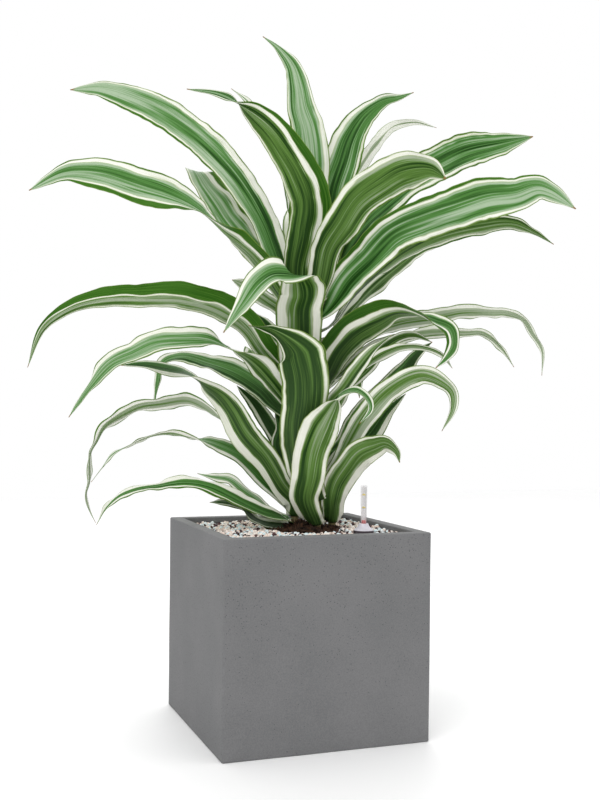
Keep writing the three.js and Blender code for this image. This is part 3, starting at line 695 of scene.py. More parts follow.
def bed_mesh():
    """A closed body: up the wall, over the lumpy top, down the hollow and back along the floor."""
    low = PLANTER["floor"] + BED_GAP
    rings = [(0, height) for height in (low, 90, 160, 230, 262)]
    rings += [(step / 12, None) for step in range(1, 13)]
    rings += [(1, height) for height in (250, 180, 120, low + 30)]
    rings += [(share_in, low) for share_in in (0.75, 0.5, 0.25)]
    points = [p * MM for ring in rings for p in bed_ring(*ring)]
    return joined_round(points, ring_faces(len(rings), BED_SIDES), BED_SIDES)


def painted_shade_bed_material():
    material, tree, shader = new_material("shaded_grain_bed", Roughness=0.9, Specular_IOR_Level=0.2)
    marks = mottle(tree, object_place(tree), clouds=120.0, grain=700.0, pits=170.0, pit_size=0.5)
    # painted shade: the bed is dark brown so that the gaps between the grains look shadowed
    brown = mixed(tree, stepped(tree, marks["Clouds"], 0.4, 0.6), srgb("#241a18"), srgb("#5d4d46"))
    tree.links.new(brown, shader.inputs["Base Color"])
    bumped(tree, shader, marks["Grain"], distance=0.002)
    return material


points, faces = bed_mesh()
make_piece("shaded_grain_bed", points, faces, painted_shade_bed_material(), "granulate", "mineral_granulate")
print("grain bed:", len(points), "points")

# %% Grain sorts
GRAIN_SORTS = {
    # name: share, size span, stretch span, roughness, squareness
    "cream_grains": (0.44, (5.0, 7.2), (0.9, 1.1), 0.2, 0.1),
    "pale_grains": (0.29, (4.8, 7.4), (0.75, 1.15), 0.45, 0.7),
    "lava_grains": (0.27, (4.6, 6.8), (0.85, 1.15), 0.5, 0.3),
}
GRAIN_COLOURS = {
    # name: the darkest grain, the palest, and the pits in them
    "cream_grains": ("#ecd6c8", "#fffaf4", "#a08474"),
    "pale_grains": ("#dcf2f7", "#ffffff", "#9dbcc6"),
    "lava_grains": ("#2c1b1e", "#6a4c4c", "#1a1011"),
}


def grain_material(name):
    dull, bright, pit = map(srgb, GRAIN_COLOURS[name])
    material, tree, shader = new_material(name, Roughness=0.8, Specular_IOR_Level=0.35)
    marks = mottle(tree, object_place(tree), clouds=170.0, grain=1400.0, pits=700.0, pit_size=0.45)
    colour = mixed(tree, stored(tree, "shade").outputs["Fac"], dull, bright)
    colour = partly(tree, marks["Clouds"], 0.35, colour, dull)
    colour = partly(tree, marks["Pits"], 0.6, colour, pit)
    tree.links.new(colour, shader.inputs["Base Color"])
    relief = maths(tree, "SUBTRACT", marks["Grain"], marks["Pits"])
    bumped(tree, shader, relief, distance=0.0003)
    return material


# %% Grains
GRAIN_PITCH = 5.4
GRAIN_JITTER = 1.5
GRAIN_LAYERS = ((-3.0, 0.0, 1.0), (1.0, 0.5, 2.7))  # height, shift of the grid, unevenness
WALL_CLEAR = 3.2
COLLAR_CLEAR = 16.5
COLLAR_DIP = 4.5  # how much lower the grains lie round the gauge's collar
PATCH_RADIUS = 45  # of the soil that is free of grains
PATCH_LIMIT = 52  # how far from the plant's foot it may reach


def in_soil(x, y):
    """Whether a place is in the patch of soil, whose outline is ragged."""
    from_foot = Vector((x - PLANT_FOOT.x, y - PLANT_FOOT.y))
    ragged = noise.noise(Vector((x, y, 9)) * 0.06) * 9
    from_middle = (from_foot - SOIL_PATCH.to_2d()).length
    return from_middle < PATCH_RADIUS + ragged and from_foot.length < PATCH_LIMIT


def grain_places(dice):
    """Places on a jittered grid inside the wall, outside the soil and clear of the gauge."""
    places = []
    limit = planter_side(GRAIN_BED_TOP) / 2 - PLANTER["wall"] - WALL_CLEAR
    steps = range(int(2 * limit / GRAIN_PITCH) + 1)
    for height, shift, uneven in GRAIN_LAYERS:
        for row, column in itertools.product(steps, steps):
            x = -limit + (column + shift) * GRAIN_PITCH + dice.uniform(-GRAIN_JITTER, GRAIN_JITTER)
            y = -limit + (row + shift) * GRAIN_PITCH + dice.uniform(-GRAIN_JITTER, GRAIN_JITTER)
            from_gauge = math.hypot(x - GAUGE_PLACE.x, y - GAUGE_PLACE.y)
            if max(abs(x), abs(y)) > limit or in_soil(x, y) or from_gauge < COLLAR_CLEAR:
                continue
            sunk = COLLAR_DIP * (1 - smooth(from_gauge, 20, 34))
            z = bed_height(x, y) + height - sunk + dice.uniform(-1.0, 1.0) * uneven
            places.append(Vector((x, y, z)))
    dice.shuffle(places)
    return places


dice = random.Random(5)
places = grain_places(dice)
taken = 0
for name, (share, size, stretch, rough, square) in GRAIN_SORTS.items():
    count = round(share * len(places))
    mine = places[taken:taken + count]
    taken += count
    grains = scattered(mine, dice, size, (stretch,) * 3, rough, square)
    scatter_piece(name, grains, grain_material(name), "granulate", "mineral_granulate")
    print(name, len(mine))

# %% [markdown]
# ## The water gauge
# A clear tube goes down to the planter's floor. A float in it lifts a thin needle, and the
# needle's red tip shows the water level against two yellow marks. Everything here is turned on
# a lathe in the factory, so everything is a turned profile here too. The marks are printed
# pads, wrapped round the side of the tube that faces the front.

# %% Gauge tube
GAUGE = {"radius": 5.0, "bore": 3.8, "top": 353, "foot": 20.3, "chamfer": 1.0, "cap": 2.0}
GAUGE_SIDES = 48
AXIS = 0.05  # the smallest radius of a turned shape, so that its ends stay closed rings


def gauge_rings(profile, sides=GAUGE_SIDES):
    """A turned skin from a profile in millimetres, moved to the gauge's place."""
    points = [(p + GAUGE_PLACE) * MM for p in turned(profile, sides)]
    return points, ring_faces(len(profile), sides)


def rounded_bead(radius, height, bead, steps=5):
    """A quarter round at the top of a turned shape."""
    return [(radius - bead + bead * math.cos(a), height - bead + bead * math.sin(a))
            for a in (math.pi / 2 * step / steps for step in range(steps + 1))]


def tube_parts():
    outer, bore, foot, top = (GAUGE[key] for key in ("radius", "bore", "foot", "top"))
    outside = [(bore, foot), (outer - 0.3, foot), (outer, foot + 0.3)]
    outside += [(outer, height) for height in (100, 200, 300)]
    outside += rounded_bead(outer, top, GAUGE["chamfer"]) + [(2.0, top), (AXIS, top)]
    inner_top = top - GAUGE["cap"]
    inside = [(AXIS, inner_top), (2.0, inner_top), (bore - 0.4, inner_top), (bore, inner_top - 0.4)]
    inside += [(bore, height) for height in (300, 200, 100)]
    return joined_round(*gauge_rings(outside + inside), GAUGE_SIDES)


# %% Gauge collar
COLLAR_FOOT = 280.3
COLLAR_BORE = 5.3
COLLAR_HEIGHT = 19.0


def collar_parts():
    """A straight band at its foot, then a hollow curve up to the neck round the tube."""
    bell = [(14.4, 0.7), (14.5, 1.4), (14.5, 8.8), (14.2, 9.8), (13.4, 10.6), (12.2, 11.4), (10.8, 12.3)]
    bell += [(9.5, 13.3), (8.4, 14.5), (7.5, 15.8), (6.9, 17.3), (6.6, 18.7), (6.1, COLLAR_HEIGHT)]
    neck = [(COLLAR_BORE + 0.2, COLLAR_HEIGHT), (COLLAR_BORE, COLLAR_HEIGHT - 0.3)]
    profile = [(COLLAR_BORE, 0.0), (13.8, 0.0)] + bell + neck
    skin = gauge_rings([(radius, COLLAR_FOOT + height) for radius, height in profile])
    return joined_round(*skin, GAUGE_SIDES)


# %% Gauge needle
NEEDLE_TOP = 304
NEEDLE_SIDES = 24


def needle_parts():
    """The float at the foot, the thin rod, and the thicker red tip."""
    floated = [(AXIS, 20.3), (2.8, 20.3), (3.2, 20.8), (3.2, 64.8), (2.8, 65.6), (1.6, 68.3)]
    rod = [(1.6, 150), (1.6, 240), (1.6, 295)]
    tip = [(2.8, 297), (2.8, 302.6), (2.2, 303.6), (AXIS, NEEDLE_TOP)]
    return capped(*gauge_rings(floated + rod + tip, NEEDLE_SIDES), NEEDLE_SIDES)


# %% Gauge finishes
def clear_plastic():
    """Nearly clear, but for the bore's far wall, which is milky with the light it gathers."""
    material, tree, shader = new_material("clear_gauge_plastic", Specular_IOR_Level=0.6)
    marks = mottle(tree, object_place(tree), clouds=70.0, grain=900.0, pits=400.0, pit_size=0.1)
    faces = tree.nodes.new("ShaderNodeNewGeometry").outputs
    seen_inside = maths(tree, "SUBTRACT", 1.0, faces["Backfacing"])
    far_wall = maths(tree, "MULTIPLY", stored(tree, "bore").outputs["Fac"], seen_inside)
    looked_at = tree.nodes.new("ShaderNodeLightPath").outputs["Is Camera Ray"]
    milky = maths(tree, "MULTIPLY", far_wall, looked_at)
    near = mixed(tree, marks["Clouds"], srgb("#b4b2b8"), srgb("#bcbac0"))
    far = mixed(tree, marks["Clouds"], srgb("#dddbdb"), srgb("#e6e4e4"))
    tree.links.new(mixed(tree, far_wall, near, far), shader.inputs["Base Color"])
    tree.links.new(maths(tree, "MULTIPLY_ADD", milky, 0.72, 0.1), shader.inputs["Alpha"])
    scuffed = maths(tree, "MULTIPLY_ADD", marks["Grain"], 0.06, 0.05)
    tree.links.new(scuffed, shader.inputs["Roughness"])
    bumped(tree, shader, marks["Clouds"], distance=0.00005)
    return material


def tinted_plastic(name, top, foot, low, high, **constants):
    """Plastic whose colour goes from foot to top between two heights."""
    material, tree, shader = new_material(name, **constants)
    place = object_place(tree)
    marks = mottle(tree, place, clouds=120.0, grain=1100.0, pits=420.0, pit_size=0.12)
    upper = mixed(tree, marks["Clouds"], srgb(top), srgb("#ffffff"))
    upper = mixed(tree, 0.75, upper, srgb(top))
    colour = mixed(tree, stepped(tree, height_of(tree, place), low, high), srgb(foot), upper)
    tree.links.new(colour, shader.inputs["Base Color"])
    tree.links.new(maths(tree, "MULTIPLY_ADD", marks["Grain"], 0.3, 0.15), shader.inputs["Roughness"])
    return material


COLLAR_COLOURS = ("#c9c5d0", "#2a1a26", 0.2894, 0.2900)
NEEDLE_COLOURS = ("#c21000", "#b9b4ae", 0.2945, 0.2955)
MARK_COLOURS = ("#c2ab34", "#c2ab34", 0.29, 0.30)
COLLAR_LOOK = tinted_plastic("collar_plastic", *COLLAR_COLOURS, Specular_IOR_Level=0.6)
NEEDLE_LOOK = tinted_plastic("needle_plastic", *NEEDLE_COLOURS, Specular_IOR_Level=0.5)
MARK_LOOK = tinted_plastic("mark_ink", *MARK_COLOURS, Specular_IOR_Level=0.3)

# %% Tube, needle and collar in place
points, faces = tube_parts()
tube = make_piece("gauge_tube_clear", points, faces, clear_plastic(), "gauge_clear", "gauge_tube")
from_axis = [(Vector(p) / MM - GAUGE_PLACE).to_2d().length for p in points]
store(tube.data, "bore", [1.0 if r < GAUGE["bore"] + 0.2 else 0.0 for r in from_axis])
make_piece("gauge_needle_red", *needle_parts(), NEEDLE_LOOK, "gauge_red", "gauge_needle")
make_piece("gauge_collar_bell", *collar_parts(), COLLAR_LOOK, "gauge_collar", "gauge_collar")
print("gauge turned with", GAUGE_SIDES, "sides")

# %% Gauge marks
MARK_HEIGHTS = (321, 339)
MARK_FACING = math.atan2(-1.4, -0.61)  # the way from the gauge to the viewer
MARK_SHAPE = ((0.0, 2.9), (0.9, 2.7), (1.7, 1.6), (2.6, 0.5))  # height and half width, mm
MARK_COLUMNS = 9
MARK_LAYERS = (GAUGE["radius"] - 0.05, GAUGE["radius"] + 0.22)  # from just inside the tube


def mark_layer(height, radius):
    points = []
    for rise, half in MARK_SHAPE:
        for column in range(MARK_COLUMNS):
            along = lerp(-half, half, column / (MARK_COLUMNS - 1))
            angle = MARK_FACING + along / GAUGE["radius"]
            place = Vector((radius * math.cos(angle), radius * math.sin(angle), height + rise))
            points.append((place + GAUGE_PLACE) * MM)
    return points


def mark_parts():
    points, faces = [], []
    for height in MARK_HEIGHTS:
        inner = len(points)
        points += mark_layer(height, MARK_LAYERS[0])
        outer = len(points)
        points += mark_layer(height, MARK_LAYERS[1])
        faces += sheet_faces(len(MARK_SHAPE), MARK_COLUMNS, outer, inner)
    return points, faces


make_piece("gauge_marks", *mark_parts(), MARK_LOOK, "gauge_clear", "gauge_tube")
print("marks at", MARK_HEIGHTS, "mm")

# %% [markdown]
# ## Smooth curves through given points
# The canes and leaf midribs are given by a few points each. A centripetal Catmull-Rom curve
# passes through all of them without loops or overshoot, even where the points are unevenly
# spaced, and it is the same curve that the CAD model uses. Walking along it at an even pace
# needs its length, so it is measured once, as many short steps.

# %% Curve
class Curve:
    """A smooth line through given points, walked at an even pace."""

    STEPS = 24  # short steps between two given points

    def __init__(self, points):
        first = points[0] * 2 - points[1]
        last = points[-1] * 2 - points[-2]
        self.nodes = [first, *points, last]
        self.spans = len(points) - 1
        self.line = [self.between(i / self.STEPS) for i in range(self.spans * self.STEPS + 1)]
        self.lengths = [0.0]
        for a, b in zip(self.line, self.line[1:]):
            self.lengths.append(self.lengths[-1] + (b - a).length)
        self.length = self.lengths[-1]

    def between(self, place):
        """The point at a place counted in given points, such as 1.5 between the second and third."""
        span = min(int(place), self.spans - 1)
        share = place - span
        p0, p1, p2, p3 = self.nodes[span:span + 4]
        t01, t12, t23 = ((b - a).length ** 0.5 for a, b in ((p0, p1), (p1, p2), (p2, p3)))
        m1 = ((p1 - p0) / t01 - (p2 - p0) / (t01 + t12) + (p2 - p1) / t12) * t12
        m2 = ((p2 - p1) / t12 - (p3 - p1) / (t12 + t23) + (p3 - p2) / t23) * t12
        s2, s3 = share * share, share * share * share
        return (p1 * (2 * s3 - 3 * s2 + 1) + m1 * (s3 - 2 * s2 + share)
                + p2 * (3 * s2 - 2 * s3) + m2 * (s3 - s2))

    def at(self, share):
        """The point at a share of the curve's length."""
        goal = min(1, max(0, share)) * self.length
        low, high = 0, len(self.lengths) - 1
        while high - low > 1:
            middle = (low + high) // 2
            low, high = (middle, high) if self.lengths[middle] <= goal else (low, middle)
        step = self.lengths[high] - self.lengths[low]
        return self.line[low].lerp(self.line[high], (goal - self.lengths[low]) / step)

    def way(self, share, reach=0.004):
        """The direction of the curve there."""
        return (self.at(share + reach) - self.at(share - reach)).normalized()


def in_planter(point):
    """From the plant's own axes (across, away, up) to the planter's, in metres."""
    return (Matrix.Rotation(PLANT_TURN, 3, "Z") @ point + PLANT_FOOT) * MM


# %% [markdown]
# ## The canes
# A dracaena's stem keeps a ring wherever a leaf has dropped off. They are only seen between the
# leaf bases, but from behind and above they show that the leaves grow from something. Each is a
# tube along its curve, with rings pressed in every few millimetres and a slightly uneven
# outline, and it ends in a blunt bud that the youngest leaves wrap.

# %% Canes
CANES = {
    # name: radius, points (across, away, up) above the granulate
    "main": (8, ((0, 10, 0), (-6, 9, 120), (-12, 7, 240), (-18, 5, 354))),
    "left": (6, ((-28, 14, 0), (-31, 16, 60), (-33, 18, 112))),
    "front": (6, ((4, -22, 0), (5, -26, 70), (6, -30, 134))),
    "right": (6, ((26, 6, 0), (30, 6, 40), (34, 6, 80))),
}
CANE_DEPTH = 60
CANE_SIDES = 28
CANE_ROW = 1.4
RING_PITCH = 7.0
RING_DEPTH = 0.055  # as a share of the cane's radius
CANE_FIT = 0.99  # how full the bark stands in the CAD model's cane


def cane_curve(name):
    """The cane's middle line, from its buried foot upwards."""
    points = [Vector(p) for p in CANES[name][1]]
    foot = Vector((points[0].x, points[0].y, -CANE_DEPTH))
    return Curve([foot, *points])


def cane_parts(name):
    radius, curve = CANES[name][0], cane_curve(name)
    rows = int(curve.length / CANE_ROW)
    points = []
    for row in range(rows + 1):
        share = row / rows
        centre, along = curve.at(share), curve.way(share)
        side = along.cross(Vector((0, 1, 0))).normalized()
        front = side.cross(along)
        turns = share * curve.length / RING_PITCH
        ring = 1 - RING_DEPTH * max(0, math.cos(2 * math.pi * turns)) ** 6
        blunt = math.sqrt(max(0.02, 1 - smooth(share, 0.985, 1) ** 2))
        blunt *= math.sqrt(smooth(share, -0.01, 0.01))
        for step in range(CANE_SIDES):
            angle = 2 * math.pi * step / CANE_SIDES
            way = side * math.cos(angle) + front * math.sin(angle)
            uneven = 1 + 0.03 * noise.noise((centre + way * radius) * 0.12)
            points.append(in_planter(centre + way * (radius * CANE_FIT * ring * blunt * uneven)))
    return capped(points, ring_faces(rows + 1, CANE_SIDES), CANE_SIDES)


# %% Cane bark
WAVE_PHASE = 20  # radians per metre, which the wave texture gives at a scale of one


def cane_material():
    material, tree, shader = new_material("cane_bark", Roughness=0.7, Specular_IOR_Level=0.3)
    place = object_place(tree)
    marks = mottle(tree, place, clouds=45.0, grain=700.0, pits=260.0, pit_size=0.3)
    wave = tree.nodes.new("ShaderNodeTexWave")
    wave.bands_direction = "Z"
    wave.inputs["Scale"].default_value = 1 / (RING_PITCH * MM) / WAVE_PHASE * math.pi
    wave.inputs["Distortion"].default_value = 2.0
    tree.links.new(place, wave.inputs["Vector"])
    bark = mixed(tree, stepped(tree, marks["Clouds"], 0.35, 0.65), srgb("#5f5a35"), srgb("#8b7d58"))
    bark = mixed(tree, stepped(tree, wave.outputs["Fac"], 0.75, 1.0), bark, srgb("#4a3b26"))
    bark = partly(tree, marks["Pits"], 0.5, bark, srgb("#33271a"))
    tree.links.new(bark, shader.inputs["Base Color"])
    bumped(tree, shader, marks["Grain"], distance=0.0007)
    return material


CANE_BARK = cane_material()
for name in CANES:
    points, faces = cane_parts(name)
    make_piece(f"stem_{name}", points, faces, CANE_BARK, "cane", f"cane_{name}")
    print("cane", name, round(cane_curve(name).length), "mm")

# %% [markdown]
# ## The leaves: what each one is
# Every leaf is written down as a grower would describe it: the stem it comes from and how high,
# its greatest width in millimetres and where that is, the line of its midrib, and the way its
# upper face looks from foot to tip. Points are (across, away, up) in millimetres above the
# granulate, in the plant's own axes. The bands are the green edge, the white band, the other
# white band and the other green edge, as shares of the leaf's width, for places spread evenly
# from foot to tip. Ripple is how far the margins wave, fold how far the two halves are raised in
# degrees, and depth is the green of the foot and of the tip, from pale (0) to deep and dull (1).
# Depth is partly the leaf's own green and partly painted shade: low leaves, inner leaves and leaf
# feet are set deeper where other leaves shade them.
# Taper says how long the blade stays wide. What a leaf doesn't say is as on the usual leaf.

# %% The usual leaf
USUAL_LEAF = {"widest": 0.45, "taper": 2.2, "ripple": 2.5, "fold": 14}

# %% [markdown]
# ## Crown leaves
# The leaves from the top of the tall stem reach highest. Most of them still climb at their
# tips. The others bend over near the end.

# %% Crown leaves
CROWN_LEAVES = {
    "crown_leaf_01": {
        "cane": "main", "start": 352, "width": 58, "taper": 1.55, "fold": 12, "depth": (0.5, 0.35),
        "midrib": (
            (-20, 15, 400), (-15, 15, 470), (-10, 15, 545), (-15, 20, 600), (-25, 25, 635),
            (-30, 30, 670), (-40, 40, 705), (-60, 40, 730), (-85, 45, 750),
        ),
        "face": ((0, -1, 0.1), (0, -1, 0.1), (0.2, -1, 0.2)),
        "bands": (
            (0.02, 0.2, 0.04, 0.03), (0.02, 0.2, 0.04, 0.07), (0.02, 0.13, 0.04, 0.08),
            (0.02, 0.08, 0.03, 0.03), (0.02, 0.05, 0.02, 0.02),
        ),
    },
    "crown_leaf_02": {
        "cane": "main", "start": 326, "width": 54, "widest": 0.64, "taper": 2.6, "ripple": 3.5,
        "depth": (0.8, 0.2),
        "midrib": (
            (-55, 10, 395), (-85, 35, 470), (-125, 50, 535), (-175, 65, 590), (-235, 75, 635),
            (-295, 85, 665), (-345, 90, 680), (-390, 95, 680),
        ),
        "face": ((0.5, -1, 0.2), (0.3, -1, 0.1), (0.1, -1, 0.2)),
        "bands": (
            (0.02, 0.22, 0.04, 0.03), (0.02, 0.22, 0.04, 0.03), (0.03, 0.16, 0.05, 0.05),
            (0.03, 0.07, 0.05, 0.09), (0.03, 0.05, 0.04, 0.05),
        ),
    },
    "crown_leaf_03": {
        "cane": "main", "start": 344, "width": 62, "widest": 0.34, "taper": 1.8, "ripple": 2,
        "fold": 16, "depth": (0.75, 0.45),
        "midrib": (
            (-25, -15, 385), (-15, -30, 435), (-10, -40, 480), (-25, -50, 520), (-45, -60, 550),
            (-70, -70, 580), (-105, -80, 605), (-140, -90, 620), (-185, -100, 625),
        ),
        "face": (
            (0, 1, 0.1), (0, 1, 0.1), (0, 1, 0.1), (0, 1, 0.2), (0, 1, 0.3), (0, 0.8, 0.6),
            (0, -0.7, 0.7), (0, -0.9, 0.5),
        ),
        "bands": (
            (0.02, 0.04, 0.13, 0.12), (0.02, 0.03, 0.14, 0.2), (0.02, 0.03, 0.13, 0.24),
            (0.02, 0.05, 0.12, 0.1), (0.03, 0.08, 0.1, 0.05),
        ),
    },
    "crown_leaf_04": {
        "cane": "main", "start": 344, "width": 24, "widest": 0.5, "ripple": 2, "depth": (0.4, 0.4),
        "midrib": (
            (-25, 45, 415), (-35, 60, 485), (-55, 65, 570), (-85, 70, 625), (-110, 75, 660),
            (-135, 80, 680),
        ),
        "face": ((0.6, -0.8, 0.3), (0.3, -0.7, 0.5)),
        "bands": ((0.04, 0.3, 0.2, 0.08),),
    },
    "crown_leaf_05": {
        "cane": "main", "start": 336, "width": 68, "taper": 1.6, "fold": 16, "depth": (0.6, 0.5),
        "midrib": (
            (10, 25, 400), (20, 40, 460), (25, 55, 515), (40, 70, 565), (50, 80, 600), (65, 90, 630),
            (80, 100, 650), (105, 110, 670), (130, 120, 680), (155, 125, 690),
        ),
        "face": ((-0.3, -1, 0.3), (-0.2, -1, 0.2)),
        "bands": (
            (0.05, 0.06, 0.13, 0.03), (0.05, 0.06, 0.14, 0.03), (0.04, 0.05, 0.14, 0.05),
            (0.04, 0.05, 0.1, 0.06),
        ),
    },
    "crown_leaf_06": {
        "cane": "main", "start": 322, "width": 34, "widest": 0.4, "depth": (0.2, 0.1),
        "midrib": (
            (-5, 70, 410), (35, 115, 490), (60, 145, 555), (100, 180, 620), (130, 200, 655),
            (165, 210, 665), (205, 225, 660),
        ),
        "face": ((-0.5, -0.6, 0.6), (-0.3, 0.8, 0.4), (-0.2, 0.8, 0.5)),
        "bands": ((0.02, 0.4, 0.38, 0.03),),
    },
    "crown_leaf_07": {
        "cane": "main", "start": 320, "width": 58, "widest": 0.72, "taper": 2.6, "ripple": 3.5,
        "depth": (0.85, 0.5),
        "midrib": (
            (5, -30, 365), (15, -55, 410), (35, -80, 440), (55, -95, 470), (85, -115, 490),
            (115, -130, 505), (150, -150, 505), (170, -160, 490),
        ),
        "face": ((-0.5, 0.9, 0.2), (-0.3, 1, 0.3), (0, 1, 0.4)),
        "bands": ((0.02, 0.14, 0.04, 0.03), (0.02, 0.11, 0.05, 0.04), (0.02, 0.09, 0.05, 0.04)),
    },
    "crown_leaf_08": {
        "cane": "main", "start": 314, "width": 72, "widest": 0.7, "ripple": 3.5, "fold": 20,
        "depth": (0.7, 0.5),
        "midrib": (
            (20, 20, 380), (55, 45, 445), (100, 85, 500), (150, 110, 545), (200, 135, 575),
            (245, 150, 600), (300, 155, 615), (355, 160, 630),
        ),
        "face": ((-0.5, -1, 0.2), (-0.2, -1, 0.3)),
        "bands": ((0.06, 0.09, 0.09, 0.05), (0.06, 0.1, 0.07, 0.05), (0.05, 0.06, 0.04, 0.03)),
    },
    "crown_leaf_09": {
        "cane": "main", "start": 300, "width": 66, "widest": 0.62, "ripple": 4.5, "depth": (0.7, 0.25),
        "midrib": (
            (20, -10, 330), (45, -20, 370), (75, -30, 400), (110, -40, 435), (155, -45, 455),
            (200, -50, 470), (245, -50, 485), (285, -55, 490), (315, -55, 500), (335, -55, 495),
            (370, -60, 470),
        ),
        "face": ((-0.4, -1, 0.2), (-0.2, -1, 0.2), (0.1, -1, 0.2)),
        "bands": (
            (0.03, 0.12, 0.12, 0.1), (0.03, 0.1, 0.09, 0.1), (0.03, 0.08, 0.06, 0.07),
            (0.03, 0.06, 0.05, 0.04),
        ),
    },
    "crown_leaf_10": {
        "cane": "main", "start": 288, "width": 46, "taper": 1.8, "ripple": 4, "depth": (0.8, 0.5),
        "midrib": (
            (25, 5, 305), (55, 5, 345), (90, 10, 380), (135, 10, 415), (185, 10, 440), (245, 10, 455),
            (295, 10, 460), (330, 10, 445), (355, 10, 430),
        ),
        "face": ((-0.5, -0.3, 0.8), (-0.3, 0.5, 0.8), (0.3, 0.7, 0.6)),
        "bands": ((0.06, 0.12, 0.12, 0.1), (0.05, 0.09, 0.08, 0.08), (0.04, 0.07, 0.06, 0.05)),
    },
    "crown_leaf_11": {
        "cane": "main", "start": 276, "width": 40, "ripple": 3.5, "depth": (0.8, 0.5),
        "midrib": (
            (25, 25, 285), (50, 40, 325), (85, 55, 365), (125, 70, 400), (165, 85, 430), (210, 95, 445),
        ),
        "face": ((-0.5, 0.5, 0.8), (-0.2, 0.8, 0.6)),
        "bands": ((0.03, 0.3, 0.14, 0.03),),
    },
    "crown_leaf_12": {
        "cane": "main", "start": 314, "width": 66, "widest": 0.56, "taper": 1.7, "ripple": 2,
        "fold": 12, "depth": (0.8, 0.25),
        "midrib": (
            (-50, 35, 380), (-75, 45, 405), (-105, 60, 445), (-130, 70, 475), (-150, 80, 505),
            (-170, 95, 530), (-185, 115, 555), (-190, 140, 560), (-185, 170, 545), (-175, 195, 525),
        ),
        "face": (
            (0.4, -0.9, 0.2), (0.4, -0.9, 0.2), (0.3, -0.9, 0.3), (0.3, -0.85, 0.4), (0.1, -0.2, 1),
            (-0.2, 0.8, 0.5),
        ),
        "bands": ((0.18, 0.14, 0.05, 0.02), (0.2, 0.14, 0.05, 0.02), (0.2, 0.12, 0.05, 0.02)),
    },
    "crown_leaf_13": {
        "cane": "main", "start": 300, "width": 59, "widest": 0.58, "ripple": 3.5, "depth": (0.7, 0.25),
        "midrib": (
            (-60, -5, 360), (-95, -20, 405), (-135, -30, 435), (-170, -40, 465), (-210, -45, 485),
            (-260, -50, 500), (-315, -55, 515), (-365, -55, 515), (-415, -55, 490),
        ),
        "face": ((0.5, 0.7, 0.5), (0.2, 0.2, 1), (0, -1, 0.2), (0, -1, 0.3)),
        "bands": (
            (0.03, 0.05, 0.12, 0.18), (0.03, 0.06, 0.1, 0.2), (0.04, 0.14, 0.06, 0.16),
            (0.04, 0.12, 0.05, 0.14), (0.04, 0.06, 0.04, 0.04),
        ),
    },
    "crown_leaf_14": {
        "cane": "main", "start": 272, "width": 34, "widest": 0.6, "taper": 3, "ripple": 2,
        "depth": (0.6, 0.3),
        "midrib": ((-50, 35, 325), (-75, 50, 345), (-105, 65, 365), (-130, 75, 380)),
        "face": ((0.4, 0.6, 0.6), (0.2, 0.8, 0.5)),
        "bands": ((0.03, 0.15, 0.12, 0.04),),
    },
    "crown_leaf_15": {
        "cane": "main", "start": 245, "width": 30, "ripple": 2, "depth": (0.9, 0.7),
        "midrib": ((-35, 25, 265), (-60, 40, 290), (-80, 55, 315), (-100, 70, 330)),
        "face": ((0.4, -0.6, 0.6), (0.1, -0.6, 0.8)),
        "bands": ((0.03, 0.15, 0.12, 0.04),),
    },
}
print(len(CROWN_LEAVES), "crown leaves")

# %% [markdown]
# ## Middle leaves
# These grow lower on the tall stem, and on the stems to its left and before it. Most of those
# from the tall stem rise first and then sink under their own weight. Four leaves turn over on
# the way: their upper face looks away from the front at the foot, and to the front at the tip.

